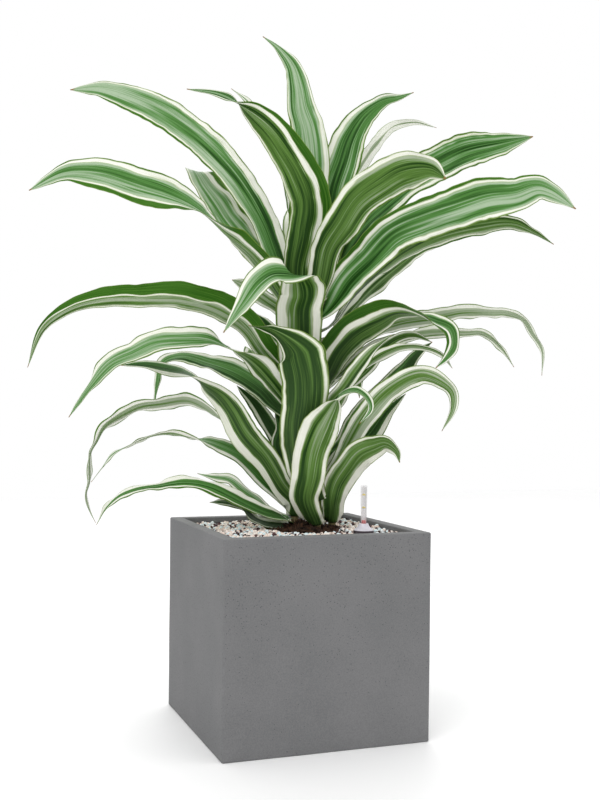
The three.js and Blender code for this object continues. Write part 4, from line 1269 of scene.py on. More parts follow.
# %% Middle leaves
MIDDLE_LEAVES = {
    "mid_leaf_01": {
        "cane": "main", "start": 172, "width": 68, "widest": 0.5, "taper": 1.7, "ripple": 3, "fold": 12,
        "depth": (1, 0.35),
        "midrib": (
            (-25, -45, 245), (-25, -60, 285), (-25, -70, 320), (-20, -85, 340), (-25, -100, 360),
            (-35, -120, 365), (-60, -135, 365), (-80, -150, 350), (-100, -160, 320), (-125, -170, 280),
        ),
        "face": (
            (0, 0.9, 0.2), (0, 0.9, 0.2), (0, 0.9, 0.3), (0, 0.8, 0.6), (-0.1, -0.5, 0.85),
            (-0.3, -0.9, 0.4), (-0.3, -0.9, 0.4), (-0.3, -0.9, 0.3),
        ),
        "bands": (
            (0.04, 0.2, 0.18, 0.04), (0.04, 0.2, 0.18, 0.04), (0.04, 0.18, 0.08, 0.04),
            (0.03, 0.12, 0.05, 0.03),
        ),
    },
    "mid_leaf_02": {
        "cane": "main", "start": 208, "width": 47, "widest": 0.36, "taper": 1.4, "fold": 16,
        "depth": (0.6, 0.4),
        "midrib": (
            (-45, -5, 230), (-75, -15, 265), (-100, -20, 300), (-135, -30, 325), (-190, -45, 340),
            (-245, -50, 340), (-310, -60, 335), (-355, -65, 320), (-390, -70, 290), (-410, -70, 235),
        ),
        "face": ((0.5, 0.8, 0.4), (0.2, 0.9, 0.4), (-0.2, 0.9, 0.4)),
        "bands": (
            (0.03, 0.04, 0.06, 0.3), (0.03, 0.05, 0.06, 0.42), (0.03, 0.05, 0.06, 0.46),
            (0.03, 0.05, 0.06, 0.38), (0.03, 0.06, 0.08, 0.18),
        ),
    },
    "mid_leaf_03": {
        "cane": "main", "start": 155, "width": 48, "widest": 0.38, "taper": 2, "ripple": 3.5,
        "depth": (0.7, 0.35),
        "midrib": (
            (-45, -15, 195), (-65, -35, 220), (-95, -50, 250), (-125, -65, 265), (-155, -80, 275),
            (-190, -95, 275), (-225, -105, 270), (-255, -110, 255), (-285, -115, 240),
            (-310, -120, 210), (-340, -120, 165),
        ),
        "face": (
            (0.4, 0.8, 0.5), (0.2, 0.6, 0.8), (0, -0.7, 0.7), (-0.2, -0.9, 0.5), (-0.3, -0.9, 0.4),
        ),
        "bands": (
            (0.04, 0.1, 0.24, 0.02), (0.04, 0.12, 0.22, 0.02), (0.04, 0.18, 0.08, 0.06),
            (0.04, 0.18, 0.05, 0.05), (0.04, 0.12, 0.05, 0.04),
        ),
    },
    "mid_leaf_04": {
        "cane": "main", "start": 178, "width": 46, "widest": 0.3, "taper": 1.5, "ripple": 3,
        "depth": (1, 0.6),
        "midrib": (
            (-50, 15, 180), (-80, 30, 210), (-120, 40, 235), (-165, 55, 250), (-205, 65, 260),
            (-235, 70, 250), (-245, 80, 220), (-250, 80, 175),
        ),
        "face": ((0.5, -0.9, 0.3), (0.2, -0.8, 0.5), (0, -0.5, 0.8), (-0.6, -0.7, 0.2)),
        "bands": ((0.04, 0.15, 0.05, 0.03),),
    },
    "mid_leaf_05": {
        "cane": "left", "start": 20, "width": 52, "widest": 0.5, "taper": 2.4, "ripple": 2,
        "depth": (0.85, 0.8),
        "midrib": (
            (-30, 0, 40), (-50, -5, 65), (-75, -10, 105), (-105, -15, 140), (-125, -20, 175),
            (-140, -25, 195), (-160, -35, 210), (-180, -40, 225), (-215, -50, 235), (-245, -55, 240),
            (-280, -55, 240),
        ),
        "face": (
            (0.5, 0.9, 0.2), (0.4, 0.9, 0.3), (0.3, 0.9, 0.3), (0.1, 0.5, 0.9), (-0.1, -0.6, 0.8),
            (-0.1, -0.7, 0.7),
        ),
        "bands": (
            (0.02, 0.28, 0.15, 0.03), (0.02, 0.28, 0.1, 0.03), (0.02, 0.26, 0.1, 0.04),
            (0.03, 0.1, 0.28, 0.03), (0.04, 0.06, 0.24, 0.03),
        ),
    },
    "mid_leaf_06": {
        "cane": "left", "start": 90, "width": 30, "widest": 0.5, "ripple": 2, "depth": (1, 0.8),
        "midrib": ((-40, 25, 105), (-65, 35, 145), (-90, 50, 185), (-120, 60, 215)),
        "face": ((0.5, -0.8, 0.3), (0.3, -0.8, 0.5)),
        "bands": ((0.03, 0.14, 0.2, 0.1),),
    },
    "mid_leaf_07": {
        "cane": "left", "start": 87, "width": 24, "widest": 0.5, "ripple": 2, "depth": (1, 0.8),
        "midrib": ((-55, 0, 125), (-50, 10, 150), (-60, 15, 180)),
        "face": ((0.5, -0.8, 0.1), (0.3, -0.8, 0.2)),
        "bands": ((0.03, 0.2, 0.1, 0.03),),
    },
    "mid_leaf_08": {
        "cane": "front", "start": 46, "width": 70, "widest": 0.72, "taper": 0.7, "ripple": 3,
        "fold": 16, "depth": (1, 0.7),
        "midrib": (
            (-15, -50, 85), (-20, -60, 120), (-20, -70, 155), (-15, -80, 190), (-15, -85, 220),
            (-20, -90, 245), (-25, -90, 260), (-40, -95, 275), (-65, -100, 290), (-95, -105, 295),
        ),
        "face": (
            (0, 1, 0.2), (0, 1, 0.2), (0, 1, 0.2), (0, 0.9, 0.4), (-0.1, 0.7, 0.8), (-0.3, 0.2, 1),
        ),
        "bands": ((0.03, 0.1, 0.1, 0.03), (0.03, 0.06, 0.07, 0.03), (0.03, 0.06, 0.07, 0.03)),
    },
    "mid_leaf_09": {
        "cane": "main", "start": 190, "width": 58, "ripple": 2, "fold": 16, "depth": (0.95, 0.5),
        "midrib": (
            (15, -15, 230), (35, -25, 270), (60, -35, 295), (90, -45, 310), (115, -50, 320),
            (145, -60, 315), (170, -60, 305), (190, -65, 295), (195, -65, 275), (185, -70, 255),
            (170, -70, 240),
        ),
        "face": (
            (-0.5, 0.8, 0.4), (-0.3, 0.9, 0.3), (-0.1, 0.9, 0.4), (0.2, 0.3, 1), (0.6, -0.7, 0.4),
            (0.7, -0.6, 0.2),
        ),
        "bands": (
            (0.12, 0.14, 0.05, 0.03), (0.22, 0.14, 0.05, 0.03), (0.28, 0.12, 0.05, 0.03),
            (0.22, 0.12, 0.1, 0.04), (0.1, 0.2, 0.2, 0.05),
        ),
    },
    "mid_leaf_10": {
        "cane": "main", "start": 248, "width": 34, "widest": 0.4, "taper": 1.2, "ripple": 3.5,
        "depth": (0.5, 0.15),
        "midrib": (
            (30, 20, 260), (75, 25, 290), (125, 35, 310), (180, 40, 320), (225, 45, 330),
            (270, 50, 330), (295, 55, 330), (320, 55, 320), (335, 60, 300), (350, 60, 275),
            (350, 60, 235),
        ),
        "face": ((-0.3, 0.7, 0.7), (0, 0.8, 0.7), (0.6, 0.7, 0.5)),
        "bands": ((0.03, 0.16, 0.14, 0.04), (0.04, 0.18, 0.16, 0.05)),
    },
    "mid_leaf_11": {
        "cane": "main", "start": 216, "width": 28, "widest": 0.5, "taper": 1.6, "ripple": 3,
        "depth": (0.6, 0.3),
        "midrib": (
            (35, 10, 230), (75, 10, 265), (125, 10, 285), (175, 10, 295), (220, 5, 295), (250, 5, 295),
            (275, 0, 275), (295, 0, 245),
        ),
        "face": ((-0.3, 0.6, 0.8), (0, 0.6, 0.8), (0.6, 0.6, 0.5)),
        "bands": ((0.03, 0.2, 0.16, 0.06),),
    },
    "mid_leaf_12": {
        "cane": "main", "start": 150, "width": 22, "widest": 0.5, "depth": (0.8, 0.4),
        "midrib": (
            (30, -25, 180), (55, -35, 225), (90, -40, 255), (125, -50, 270), (155, -50, 270),
            (180, -55, 260), (195, -60, 240),
        ),
        "face": ((-0.4, 0.5, 0.7), (-0.2, 0.6, 0.8), (0.5, 0.5, 0.6)),
        "bands": ((0.03, 0.2, 0.2, 0.05),),
    },
    "mid_leaf_13": {
        "cane": "front", "start": 130, "width": 28, "depth": (0.9, 0.6),
        "midrib": ((20, -50, 185), (40, -60, 210), (60, -70, 240), (80, -80, 265), (105, -90, 285)),
        "face": ((-0.5, 0.7, 0.4), (-0.2, 0.8, 0.5)),
        "bands": ((0.03, 0.14, 0.16, 0.05),),
    },
    "mid_leaf_14": {
        "cane": "main", "start": 168, "width": 28, "depth": (0.9, 0.5),
        "midrib": (
            (35, 5, 195), (50, 0, 215), (75, -5, 240), (95, -10, 265), (120, -10, 285), (145, -15, 290),
            (170, -20, 280),
        ),
        "face": ((-0.5, 0.7, 0.4), (-0.2, 0.8, 0.5)),
        "bands": ((0.03, 0.14, 0.16, 0.05),),
    },
    "mid_leaf_15": {
        "cane": "main", "start": 105, "width": 34, "widest": 0.55, "depth": (1, 1),
        "midrib": (
            (40, 10, 125), (60, 20, 160), (85, 30, 190), (110, 35, 215), (135, 40, 240), (155, 50, 265),
            (180, 55, 285),
        ),
        "face": ((-0.5, -0.9, 0.3), (-0.2, -0.9, 0.3)),
        "bands": ((0.03, 0.13, 0.08, 0.05),),
    },
}
print(len(MIDDLE_LEAVES), "middle leaves")

# %% [markdown]
# ## Low leaves
# The lowest leaves grow from the three short stems, and most are narrow. Two long ones on the
# left reach far past the rim and sink to about its height.

# %% Low leaves
LOW_LEAVES = {
    "low_leaf_01": {
        "cane": "front", "start": 26, "width": 38, "widest": 0.5, "taper": 1.6, "ripple": 3, "fold": 16,
        "depth": (0.6, 0.3),
        "midrib": (
            (15, -15, 55), (35, -20, 95), (55, -25, 135), (75, -35, 170), (105, -45, 205),
            (135, -50, 225), (155, -55, 230), (180, -60, 220), (195, -65, 205), (195, -65, 180),
            (180, -65, 150),
        ),
        "face": ((-0.5, 0.8, 0.3), (-0.2, 0.9, 0.3), (0.5, 0.8, 0.4)),
        "bands": ((0.03, 0.16, 0.14, 0.04), (0.03, 0.16, 0.14, 0.04), (0.03, 0.14, 0.16, 0.05)),
    },
    "low_leaf_02": {
        "cane": "right", "start": 52, "width": 30, "widest": 0.5, "depth": (0.9, 0.9),
        "midrib": ((35, 20, 75), (60, 30, 110), (90, 40, 145), (110, 45, 175), (140, 55, 205)),
        "face": ((-0.5, -0.9, 0.3), (-0.2, -0.9, 0.3)),
        "bands": ((0.03, 0.26, 0.14, 0.04),),
    },
    "low_leaf_03": {
        "cane": "front", "start": 10, "width": 56, "widest": 0.55, "taper": 0.75, "ripple": 3,
        "fold": 16, "depth": (0.9, 0.4),
        "midrib": (
            (-15, -55, 50), (-10, -65, 80), (-5, -70, 115), (5, -80, 145), (20, -90, 175),
            (35, -95, 200), (55, -100, 205), (70, -105, 195), (75, -110, 180), (60, -110, 160),
        ),
        "face": (
            (0, 0.9, 0.4), (0, 0.9, 0.4), (0, 0.8, 0.6), (0.1, 0.4, 0.9), (0.3, -0.6, 0.7),
            (0.3, -0.9, 0.4),
        ),
        "bands": ((0.01, 0.2, 0.12, 0.02), (0.01, 0.18, 0.12, 0.02), (0.02, 0.18, 0.14, 0.03)),
    },
    "low_leaf_04": {
        "cane": "right", "start": 12, "width": 50, "widest": 0.5, "taper": 1.8, "ripple": 3,
        "depth": (0.8, 0.75),
        "midrib": (
            (30, -30, 50), (35, -35, 70), (50, -45, 95), (65, -55, 115), (85, -60, 125),
            (100, -65, 130), (115, -70, 120), (120, -70, 105),
        ),
        "face": ((-0.5, 0.8, 0.3), (-0.2, 0.9, 0.3), (0.4, 0.8, 0.4)),
        "bands": ((0.03, 0.08, 0.22, 0.02), (0.03, 0.08, 0.26, 0.02), (0.03, 0.08, 0.2, 0.03)),
    },
    "low_leaf_05": {
        "cane": "right", "start": 33, "width": 22, "ripple": 2, "depth": (0.9, 0.7),
        "midrib": ((15, 5, 55), (20, -5, 75), (25, -5, 100), (35, -5, 125)),
        "face": ((-0.5, 0.8, 0.1), (-0.3, 0.8, 0.2)),
        "bands": ((0.03, 0.3, 0.14, 0.03),),
    },
    "low_leaf_06": {
        "cane": "left", "start": 66, "width": 27, "widest": 0.4, "taper": 1.8, "ripple": 4,
        "depth": (0.3, 0),
        "midrib": (
            (-65, 30, 100), (-105, 30, 140), (-145, 20, 165), (-165, 15, 180), (-190, 10, 190),
            (-230, 5, 185), (-260, 0, 180), (-290, -5, 165), (-310, -10, 150), (-320, -15, 130),
            (-330, -15, 110), (-330, -20, 70), (-335, -20, 50), (-330, -20, 30), (-320, -20, 10),
        ),
        "face": (
            (0.4, 0.4, 0.8), (0.2, -0.6, 0.8), (0, 0.7, 0.7), (-0.3, 0.7, 0.6), (-0.8, 0.1, 0.5),
            (-0.7, 0.6, 0.3),
        ),
        "bands": ((0.05, 0.2, 0.16, 0.06),),
    },
    "low_leaf_07": {
        "cane": "left", "start": 20, "width": 34, "widest": 0.28, "taper": 1.8, "ripple": 3.5,
        "depth": (0.7, 0.3),
        "midrib": (
            (-50, 20, 45), (-80, 20, 75), (-110, 25, 105), (-150, 25, 125), (-190, 25, 135),
            (-220, 30, 140), (-250, 30, 135), (-285, 35, 120), (-310, 40, 105), (-325, 45, 85),
            (-340, 45, 65),
        ),
        "face": (
            (0.3, -0.8, 0.6), (0.2, -0.8, 0.7), (0.1, -0.6, 0.8), (0, 0.5, 0.9), (-0.3, -0.3, 0.9),
            (-0.6, -0.6, 0.5),
        ),
        "bands": ((0.04, 0.1, 0.2, 0.06), (0.04, 0.12, 0.2, 0.06), (0.05, 0.22, 0.2, 0.06)),
    },
    "low_leaf_08": {
        "cane": "left", "start": 8, "width": 32, "widest": 0.3, "taper": 1.3, "ripple": 3.5,
        "depth": (0.95, 0.3),
        "midrib": (
            (-45, -20, 20), (-75, -35, 30), (-95, -45, 40), (-120, -60, 55), (-150, -70, 70),
            (-185, -75, 75), (-220, -80, 70), (-250, -85, 65), (-275, -90, 55), (-290, -95, 40),
            (-305, -95, 15),
        ),
        "face": ((0.4, -0.6, 0.8), (0, -0.6, 0.8), (-0.5, -0.6, 0.6)),
        "bands": ((0.02, 0.2, 0.06, 0.06), (0.02, 0.3, 0.04, 0.1), (0.03, 0.24, 0.18, 0.06)),
    },
    "low_leaf_09": {
        "cane": "left", "start": 5, "width": 30, "depth": (1, 0.9),
        "midrib": ((-70, -10, 10), (-90, -25, 20), (-105, -35, 35), (-125, -50, 45), (-150, -60, 45)),
        "face": ((0.3, -0.5, 0.8), (-0.2, -0.5, 0.9)),
        "bands": ((0.03, 0.22, 0.12, 0.05),),
    },
    "low_leaf_10": {
        "cane": "left", "start": 16, "width": 26, "ripple": 3.5, "depth": (0.7, 0.4),
        "midrib": (
            (-65, -5, 25), (-85, -15, 45), (-105, -25, 60), (-125, -30, 75), (-150, -40, 80),
            (-170, -40, 85),
        ),
        "face": ((0.4, -0.6, 0.8), (0, -0.6, 0.8)),
        "bands": ((0.04, 0.14, 0.12, 0.05), (0.04, 0.2, 0.2, 0.05)),
    },
}
print(len(LOW_LEAVES), "low leaves")

# %% [markdown]
# ## Leaves on the far side
# The photograph can't show these. A dracaena carries its leaves all round, so a plain fan of
# arching leaves fills the back. They share their bands, fold and greens, and differ in height,
# width and lean.

# %% Far side leaves
BACK_LOOK = {"ripple": 3, "fold": 16, "depth": (0.8, 0.4), "bands": ((0.04, 0.12, 0.12, 0.04),)}
BACK_LEAVES = {
    "back_leaf_01": {
        "cane": "main", "start": 306, "width": 58,
        "midrib": ((-20, 75, 385), (-25, 150, 480), (-20, 220, 520), (-20, 280, 505), (-20, 320, 465)),
        "face": ((0, -0.8, 0.5), (0, -0.2, 1), (0, 0.9, 0.5)),
    },
    "back_leaf_02": {
        "cane": "main", "start": 256, "width": 54,
        "midrib": ((-30, 80, 345), (-45, 150, 425), (-70, 215, 465), (-75, 270, 450), (-75, 300, 405)),
        "face": ((0.3, -0.7, 0.5), (0, -0.2, 1), (-0.2, 0.9, 0.5)),
    },
    "back_leaf_03": {
        "cane": "main", "start": 298, "width": 54,
        "midrib": ((10, 65, 350), (35, 140, 415), (50, 205, 435), (60, 260, 425), (65, 290, 385)),
        "face": ((-0.3, -0.7, 0.5), (0, -0.2, 1), (0.2, 0.9, 0.5)),
    },
    "back_leaf_04": {
        "cane": "main", "start": 228, "width": 52,
        "midrib": ((-20, 70, 245), (-20, 150, 300), (-15, 220, 315), (-15, 275, 285), (-10, 305, 235)),
        "face": ((0, -0.7, 0.5), (0, -0.2, 1), (0, 0.9, 0.5)),
    },
    "back_leaf_05": {
        "cane": "main", "start": 200, "width": 46,
        "midrib": ((15, 60, 215), (45, 130, 260), (65, 190, 270), (75, 235, 245), (80, 255, 200)),
        "face": ((-0.3, -0.7, 0.5), (0, -0.2, 1), (0.2, 0.9, 0.5)),
    },
    "back_leaf_06": {
        "cane": "main", "start": 214, "width": 48,
        "midrib": (
            (-45, 60, 225), (-75, 130, 265), (-95, 190, 275), (-105, 235, 250), (-110, 260, 210),
        ),
        "face": ((0.3, -0.7, 0.5), (0, -0.2, 1), (-0.2, 0.9, 0.5)),
    },
    "back_leaf_07": {
        "cane": "left", "start": 50, "width": 44,
        "midrib": ((-25, 70, 85), (-30, 130, 130), (-30, 190, 145), (-35, 240, 115), (-35, 265, 55)),
        "face": ((0, -0.7, 0.5), (0, -0.2, 1), (0, 0.9, 0.5)),
    },
    "back_leaf_08": {
        "cane": "right", "start": 28, "width": 40,
        "midrib": ((25, 60, 75), (40, 125, 120), (60, 180, 135), (65, 225, 110), (70, 245, 60)),
        "face": ((-0.3, -0.7, 0.5), (0, -0.2, 1), (0.2, 0.9, 0.5)),
    },
    "back_leaf_09": {
        "cane": "main", "start": 120, "width": 46,
        "midrib": ((-10, 60, 145), (-5, 130, 185), (5, 200, 205), (5, 255, 175), (10, 285, 125)),
        "face": ((0, -0.7, 0.5), (0, -0.2, 1), (0, 0.9, 0.5)),
    },
}
LEAVES = CROWN_LEAVES | MIDDLE_LEAVES | LOW_LEAVES
LEAVES |= {name: BACK_LOOK | leaf for name, leaf in BACK_LEAVES.items()}
LEAVES = {name: USUAL_LEAF | leaf for name, leaf in LEAVES.items()}
print(len(BACK_LEAVES), "far side leaves,", len(LEAVES), "in all")

# %% [markdown]
# ## The shape of a blade
# A strap leaf could be a flat ribbon with an image on it, but a ribbon gives itself away at once:
# it has no thickness, no keel and no life in its margins. So each blade is a closed skin of two
# faces, less than two millimetres apart. At every step along the midrib there is a cross-section
# with a soft keel. Its foot is bent round the cane, because that is how a dracaena leaf holds
# on, and its margins wave more the further they are from the midrib.

# %% Leaf measures
LEAF = {
    "thickness": 1.5, "margin": 0.55, "thinning": 0.6,  # the tip is thinner by that share
    "fold_start": 0.12, "clasp_end": 0.16, "wrap_end": 0.07,  # places along the leaf
}
FOOT_WIDTH, TIP_WIDTH = 0.6, 0.02  # as shares of the greatest width
CANE_GAP = 0.3
SHEATH = 0.14  # how much wider than its cane a foot wraps, as a share of the leaf's width
SHEATH_GAP = 2.2
SHEATH_TURN = 1.9  # how far a foot may reach round its cane to either side, in radians
KEEL_ROUND = 2  # how softly the two halves meet


def cane_centre(name, height):
    """The middle of a cane at a height above the granulate."""
    line = cane_curve(name).line
    after = next(i for i, point in enumerate(line) if point.z >= height)
    low, high = line[after - 1], line[after]
    return low.lerp(high, (height - low.z) / (high.z - low.z))


def half_width(leaf, t):
    """Narrow at the foot, full at the widest place, pointed at the tip."""
    if t < leaf["widest"]:
        share = lerp(FOOT_WIDTH, 1, math.sin(math.pi / 2 * t / leaf["widest"]))
    else:
        past = (t - leaf["widest"]) / (1 - leaf["widest"])
        share = max(TIP_WIDTH, 1 - past ** leaf["taper"])
    return leaf["width"] / 2 * share


# %% Blade
class Blade:
    """One leaf's midrib, the directions along it, and its cross-sections."""

    def __init__(self, name, leaf):
        self.leaf = leaf
        self.radius = CANES[leaf["cane"]][0]
        foot = cane_centre(leaf["cane"], leaf["start"])
        first = Vector(leaf["midrib"][0])
        self.outward = Vector((first.x - foot.x, first.y - foot.y, 0)).normalized()
        level = (first - foot).normalized().dot(self.outward)
        seat = CANE_GAP + LEAF["thickness"] / 2 * math.sqrt(max(0, 1 - level ** 2))
        foot += self.outward * (self.radius + seat)
        self.curve = Curve([foot, *map(Vector, leaf["midrib"])])
        self.faces = [Vector(face).normalized() for face in leaf["face"]]
        self.seed = random.Random(name).uniform(0, 50)

    def face(self, t):
        """The way the upper face looks: at the cane's middle first, then as the leaf says."""
        place = t * (len(self.faces) - 1)
        first = min(int(place), len(self.faces) - 2)
        asked = self.faces[first].lerp(self.faces[first + 1], place - first)
        return (-self.outward).lerp(asked, min(1, t / LEAF["clasp_end"]))

    def axes(self, t):
        """Along the midrib, across the blade, and out of its upper face."""
        along = self.curve.way(t)
        up = self.face(t)
        up = (up - along * up.dot(along)).normalized()
        return along, up.cross(along), up

    def ripple(self, t, side):
        """The wave of one margin, still at the foot and at the tip."""
        run = t * self.curve.length
        drift = noise.noise(Vector((run / 46, side * 3.1, self.seed)))
        quick = noise.noise(Vector((run / 17, side * 5.7, self.seed + 9))) * 0.45
        calm = smooth(t, 0.06, 0.35) * (1 - smooth(t, 0.9, 1))
        return self.leaf["ripple"] * 2.2 * (drift + quick) * calm

    def wander(self, t, u):
        """How much wider or narrower than planned one half of the blade is, as a share."""
        place = Vector((t * self.curve.length / 60, math.copysign(7, u), self.seed))
        return 1 + 0.08 * noise.noise(place) + 0.035 * noise.noise(place * 5)

    def section(self, t, u, waves):
        """Across and up offsets of the blade's middle surface at u, from -1 to 1."""
        half = half_width(self.leaf, t)
        reach = abs(u) * half * self.wander(t, u)
        fold = math.radians(self.leaf["fold"]) * min(1, t / LEAF["fold_start"]) * (1 - t / 2)
        keel = math.hypot(reach, KEEL_ROUND) - KEEL_ROUND
        across = math.copysign(reach * math.cos(fold), u)
        up = keel * math.sin(fold) + (waves[1] if u > 0 else waves[0]) * abs(u) ** 2.4
        wrap = 1 - smooth(t, 0.0, LEAF["wrap_end"])
        if wrap > 0:
            ring = self.radius + SHEATH_GAP + SHEATH * self.leaf["width"]
            angle = min(SHEATH_TURN, reach / ring)
            across = lerp(across, math.copysign(ring * math.sin(angle), u), wrap)
            up = lerp(up, ring * (1 - math.cos(angle)), wrap)
        return across, up


# %% Blade skin
ROW_PITCH = 3.6
BLADE_COLUMNS = 31
CROWDING = math.pi / 2 * 0.92  # how closely the columns stand towards the margins
ACROSS = [math.sin(lerp(-CROWDING, CROWDING, i / (BLADE_COLUMNS - 1))) / math.sin(CROWDING)
          for i in range(BLADE_COLUMNS)]


def blade_skin(blade):
    """Points on the upper and the under side, each with its place along and across, and its row."""
    rows = int(blade.curve.length / ROW_PITCH)
    upper, lower = [], []
    for row in range(rows + 1):
        t = row / rows
        centre = blade.curve.at(t)
        _, side, up = blade.axes(t)
        waves = (blade.ripple(t, -1), blade.ripple(t, 1))
        thick = LEAF["thickness"] * (1 - LEAF["thinning"] * t)
        for u in ACROSS:
            across, lift = blade.section(t, u, waves)
            thin = lerp(thick, LEAF["margin"], abs(u) ** 1.5) / 2
            place = centre + side * across + up * lift
            upper.append((place + up * thin, t, u, row))
            lower.append((place - up * thin, t, u, row))
    return rows, upper, lower


# %% Where the stripes meet
def listed(entries, t):
    """Between the entries of a list that runs evenly from foot to tip."""
    if len(entries) == 1:
        return entries[0]
    place = t * (len(entries) - 1)
    first = min(int(place), len(entries) - 2)
    return [lerp(a, b, place - first) for a, b in zip(entries[first], entries[first + 1])]


def stripe_edges(leaf, blade, t):
    """Where the bands meet, from -1 to 1; they wander, and pinch together towards both ends."""
    green_a, white_a, white_b, green_b = listed(leaf["bands"], t)
    run = t * blade.curve.length
    wander = [1 + 0.35 * noise.noise(Vector((run / 38, i * 4.3, blade.seed))) for i in range(4)]
    slim = lerp(0.5, 1, smooth(t, 0.02, 0.2)) * lerp(1, 0.6, smooth(t, 0.9, 1))
    first = -1 + 2 * green_a * wander[0] * slim
    last = 1 - 2 * green_b * wander[3] * slim
    return (first, first + 2 * white_a * wander[1], last - 2 * white_b * wander[2], last)


# %% One leaf as a piece
def leaf_piece(name, leaf, material):
    """A leaf's skin, which keeps every point's place on the blade and the stripes beside it."""
    blade = Blade(name, leaf)
    rows, upper, lower = blade_skin(blade)
    layer = len(upper)
    faces = sheet_faces(rows + 1, BLADE_COLUMNS, 0, layer)
    marks = upper + lower
    points = [in_planter(place) for place, *_ in marks]
    piece = make_piece(name.replace("_leaf", "_blade"), points, faces, material, "leaf", name)
    edges = [stripe_edges(leaf, blade, row / rows) for row in range(rows + 1)]
    mesh = piece.data
    store(mesh, "bands", [edges[row] for *_, row in marks], "FLOAT_COLOR")
    store(mesh, "across", [u for _, _, u, _ in marks])
    store(mesh, "vein", [u * blade.wander(t, u) for _, t, u, _ in marks])
    store(mesh, "along", [t for _, t, _, _ in marks])
    store(mesh, "run", [t * blade.curve.length * MM for _, t, _, _ in marks])
    store(mesh, "upper", [1.0] * layer + [0.0] * layer)
    # depth: the leaf's own green and painted shade, set deeper where other leaves shade the blade
    store(mesh, "depth", [lerp(*leaf["depth"], t) for _, t, _, _ in marks])
    store(mesh, "seed", [blade.seed] * len(marks))
    return piece


# %% [markdown]
# ## Stripes, margins and veins
# The colours follow the leaf, not space: a stripe runs from foot to tip however the leaf bends.
# That is why each point of a blade remembers its place across and along it, and where the four
# band edges lie there. The material compares the two. Between the white bands the green is
# streaked, with noise that is stretched thirty times and more along the leaf. The two faces
# differ: the upper is a fresh green, and the underside is duller and a little yellower. The
# last millimetres of the tip are dry and brown.

# %% Leaf colours
# the deep greens, MARGIN_DEEP and SHADED_WHITE are reached with depth, which holds painted shade as well
# as the leaf's own green
UPPER = {"pale": "#9fb496", "main": "#4d7f3a", "deep": "#0f3a00"}
UNDER = {"pale": "#9eab91", "main": "#577b34", "deep": "#133700"}
DULL = "#6b7c5e"
MARGIN_LIGHT = "#366c0b"
MARGIN_DEEP = "#183f04"
WHITE = "#efefe8"
SHADED_WHITE = "#d2d5c0"
MARGIN_STREAK = "#6b9c3c"
WHITE_STREAK = "#a9ba90"
SEAM = "#8fa250"
DRY_TIP = "#8a6a3c"

# %% Stripe masks
def band_masks(tree, across):
    """Masks of the white bands and the green margins, from the stored band edges."""
    bands = stored(tree, "bands")
    split = tree.nodes.new("ShaderNodeSeparateColor")
    tree.links.new(bands.outputs["Color"], split.inputs[0])
    edges = [*split.outputs, bands.outputs["Alpha"]]
    gaps = [maths(tree, "SUBTRACT", across, edge) for edge in edges]
    passed = [stepped(tree, gap, -0.025, 0.025) for gap in gaps]
    left = maths(tree, "SUBTRACT", passed[0], passed[1])
    right = maths(tree, "SUBTRACT", passed[2], passed[3])
    white = maths(tree, "ADD", left, right, clamp=True)
    margin = maths(tree, "ADD", maths(tree, "SUBTRACT", 1.0, passed[0]), passed[3], clamp=True)
    away = [maths(tree, "ABSOLUTE", gap) for gap in gaps]
    nearest = maths(tree, "MINIMUM", *(maths(tree, "MINIMUM", *away[i:i + 2]) for i in (0, 2)))
    seam = maths(tree, "SUBTRACT", 1.0, stepped(tree, nearest, 0.008, 0.05))
    halo = maths(tree, "SUBTRACT", 1.0, stepped(tree, nearest, 0.02, 0.2))
    return white, margin, seam, halo


# %% Leaf material
def greens(tree, face, tone):
    """One face's green: pale where the tone is low, main half way, deep where it is high."""
    half = mixed(tree, stepped(tree, tone, -0.05, 0.5), srgb(face["pale"]), srgb(face["main"]))
    return mixed(tree, stepped(tree, tone, 0.35, 1.05), half, srgb(face["deep"]))


def streaks(tree, per_half, per_metre, detail=2.0, roughness=0.5):
    """Noise with so many changes over half the blade's width, and so many per metre along it."""
    x = maths(tree, "MULTIPLY", stored(tree, "vein").outputs["Fac"], per_half)
    y = maths(tree, "MULTIPLY", stored(tree, "run").outputs["Fac"], per_metre)
    place = vector(tree, x, y, stored(tree, "seed").outputs["Fac"])
    return cloud(tree, place, 1.0, detail, roughness)


def green_tone(tree, depth, halo, broad, narrow, fine):
    """How deep the green is: the stored depth, which is the leaf's own green and painted shade, with
    streaks of every width over it.
    """
    lines = stepped(tree, streaks(tree, 13.0, 2.5, 1.0), 0.58, 0.7)
    pale_halo = maths(tree, "MULTIPLY", halo, stepped(tree, narrow, 0.42, 0.62))
    tone = maths(tree, "MULTIPLY_ADD", broad, 3.0, -1.62)
    # the depth adds painted shade as well as the leaf's own deeper green
    tone = maths(tree, "ADD", tone, maths(tree, "MULTIPLY", depth, 1.2))
    tone = maths(tree, "ADD", tone, maths(tree, "MULTIPLY_ADD", narrow, 0.9, -0.44))
    tone = maths(tree, "ADD", tone, maths(tree, "MULTIPLY_ADD", fine, 0.45, -0.22))
    tone = maths(tree, "SUBTRACT", tone, maths(tree, "MULTIPLY", lines, 0.3))
    return maths(tree, "SUBTRACT", tone, pale_halo)


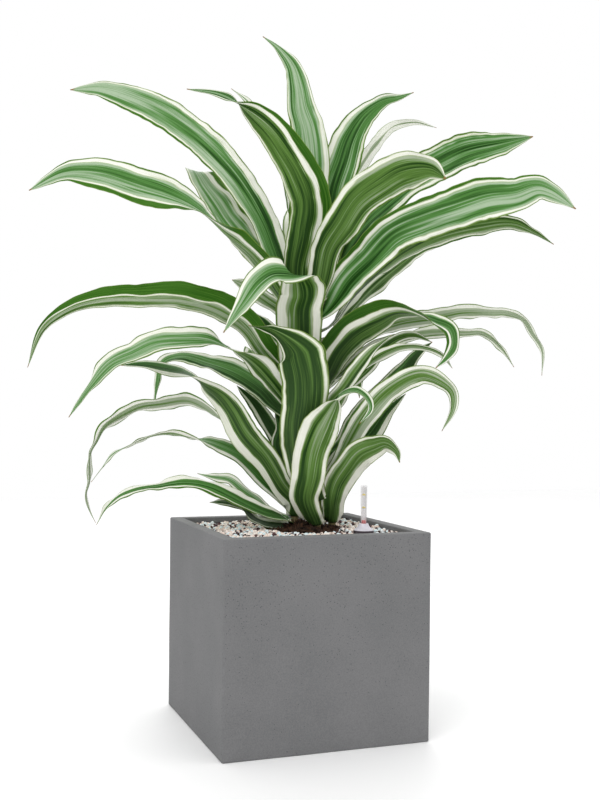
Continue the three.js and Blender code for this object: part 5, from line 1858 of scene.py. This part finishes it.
def leaf_material():
    """Ivory bands and green edges by the stored edges, and streaked green between them."""
    material, tree, shader = new_material("striped_leaf", Specular_IOR_Level=0.12)
    across, along, depth, upper = (
        stored(tree, name).outputs["Fac"] for name in ("across", "along", "depth", "upper")
    )
    broad = streaks(tree, 2.2, 2.5, 4.0, 0.62)
    narrow = streaks(tree, 7.5, 4.0, 3.0, 0.6)
    fine = streaks(tree, 34.0, 12.0)
    wobble = streaks(tree, 1.0, 30.0)

    ragged = maths(tree, "MULTIPLY_ADD", wobble, 0.1, -0.05)
    ragged = maths(tree, "ADD", ragged, maths(tree, "MULTIPLY_ADD", fine, 0.1, -0.05))
    white, margin, seam, halo = band_masks(tree, maths(tree, "ADD", across, ragged))

    tone = green_tone(tree, depth, halo, broad, narrow, fine)
    green = mixed(tree, upper, greens(tree, UNDER, tone), greens(tree, UPPER, tone))
    # where the depth, partly painted shade, is high, the green is also dulled
    green = partly(tree, stepped(tree, depth, 0.6, 1.0), 0.15, green, srgb(DULL))

    outermost = stepped(tree, maths(tree, "ABSOLUTE", across), 0.95, 0.995)
    # the margins and the white bands are painted darker with depth, which holds painted shade
    edge_green = mixed(tree, depth, srgb(MARGIN_LIGHT), srgb(MARGIN_DEEP))
    edge_green = partly(tree, stepped(tree, fine, 0.4, 0.7), 0.3, edge_green, srgb(MARGIN_STREAK))
    edge_green = partly(tree, outermost, 0.45, edge_green, srgb(SEAM))
    ivory = partly(tree, depth, 0.55, srgb(WHITE), srgb(SHADED_WHITE))
    ivory = partly(tree, stepped(tree, fine, 0.52, 0.66), 0.4, ivory, srgb(WHITE_STREAK))

    colour = mixed(tree, margin, green, edge_green)
    colour = mixed(tree, white, colour, ivory)
    colour = partly(tree, seam, 0.35, colour, srgb(SEAM))
    tip = maths(tree, "ADD", along, maths(tree, "MULTIPLY_ADD", wobble, 0.02, -0.01))
    colour = mixed(tree, stepped(tree, tip, 0.985, 0.996), colour, srgb(DRY_TIP))
    tree.links.new(colour, shader.inputs["Base Color"])

    tree.links.new(maths(tree, "MULTIPLY_ADD", fine, 0.25, 0.36), shader.inputs["Roughness"])
    veins = maths(tree, "ADD", fine, maths(tree, "MULTIPLY", narrow, 1.5))
    bumped(tree, shader, veins, distance=0.0006, strength=0.5)
    return material


# %% Make the leaves
LEAF_LOOK = leaf_material()
blades = [leaf_piece(name, leaf, LEAF_LOOK) for name, leaf in LEAVES.items()]
print(len(blades), "leaves with", sum(len(blade.data.polygons) for blade in blades), "faces")
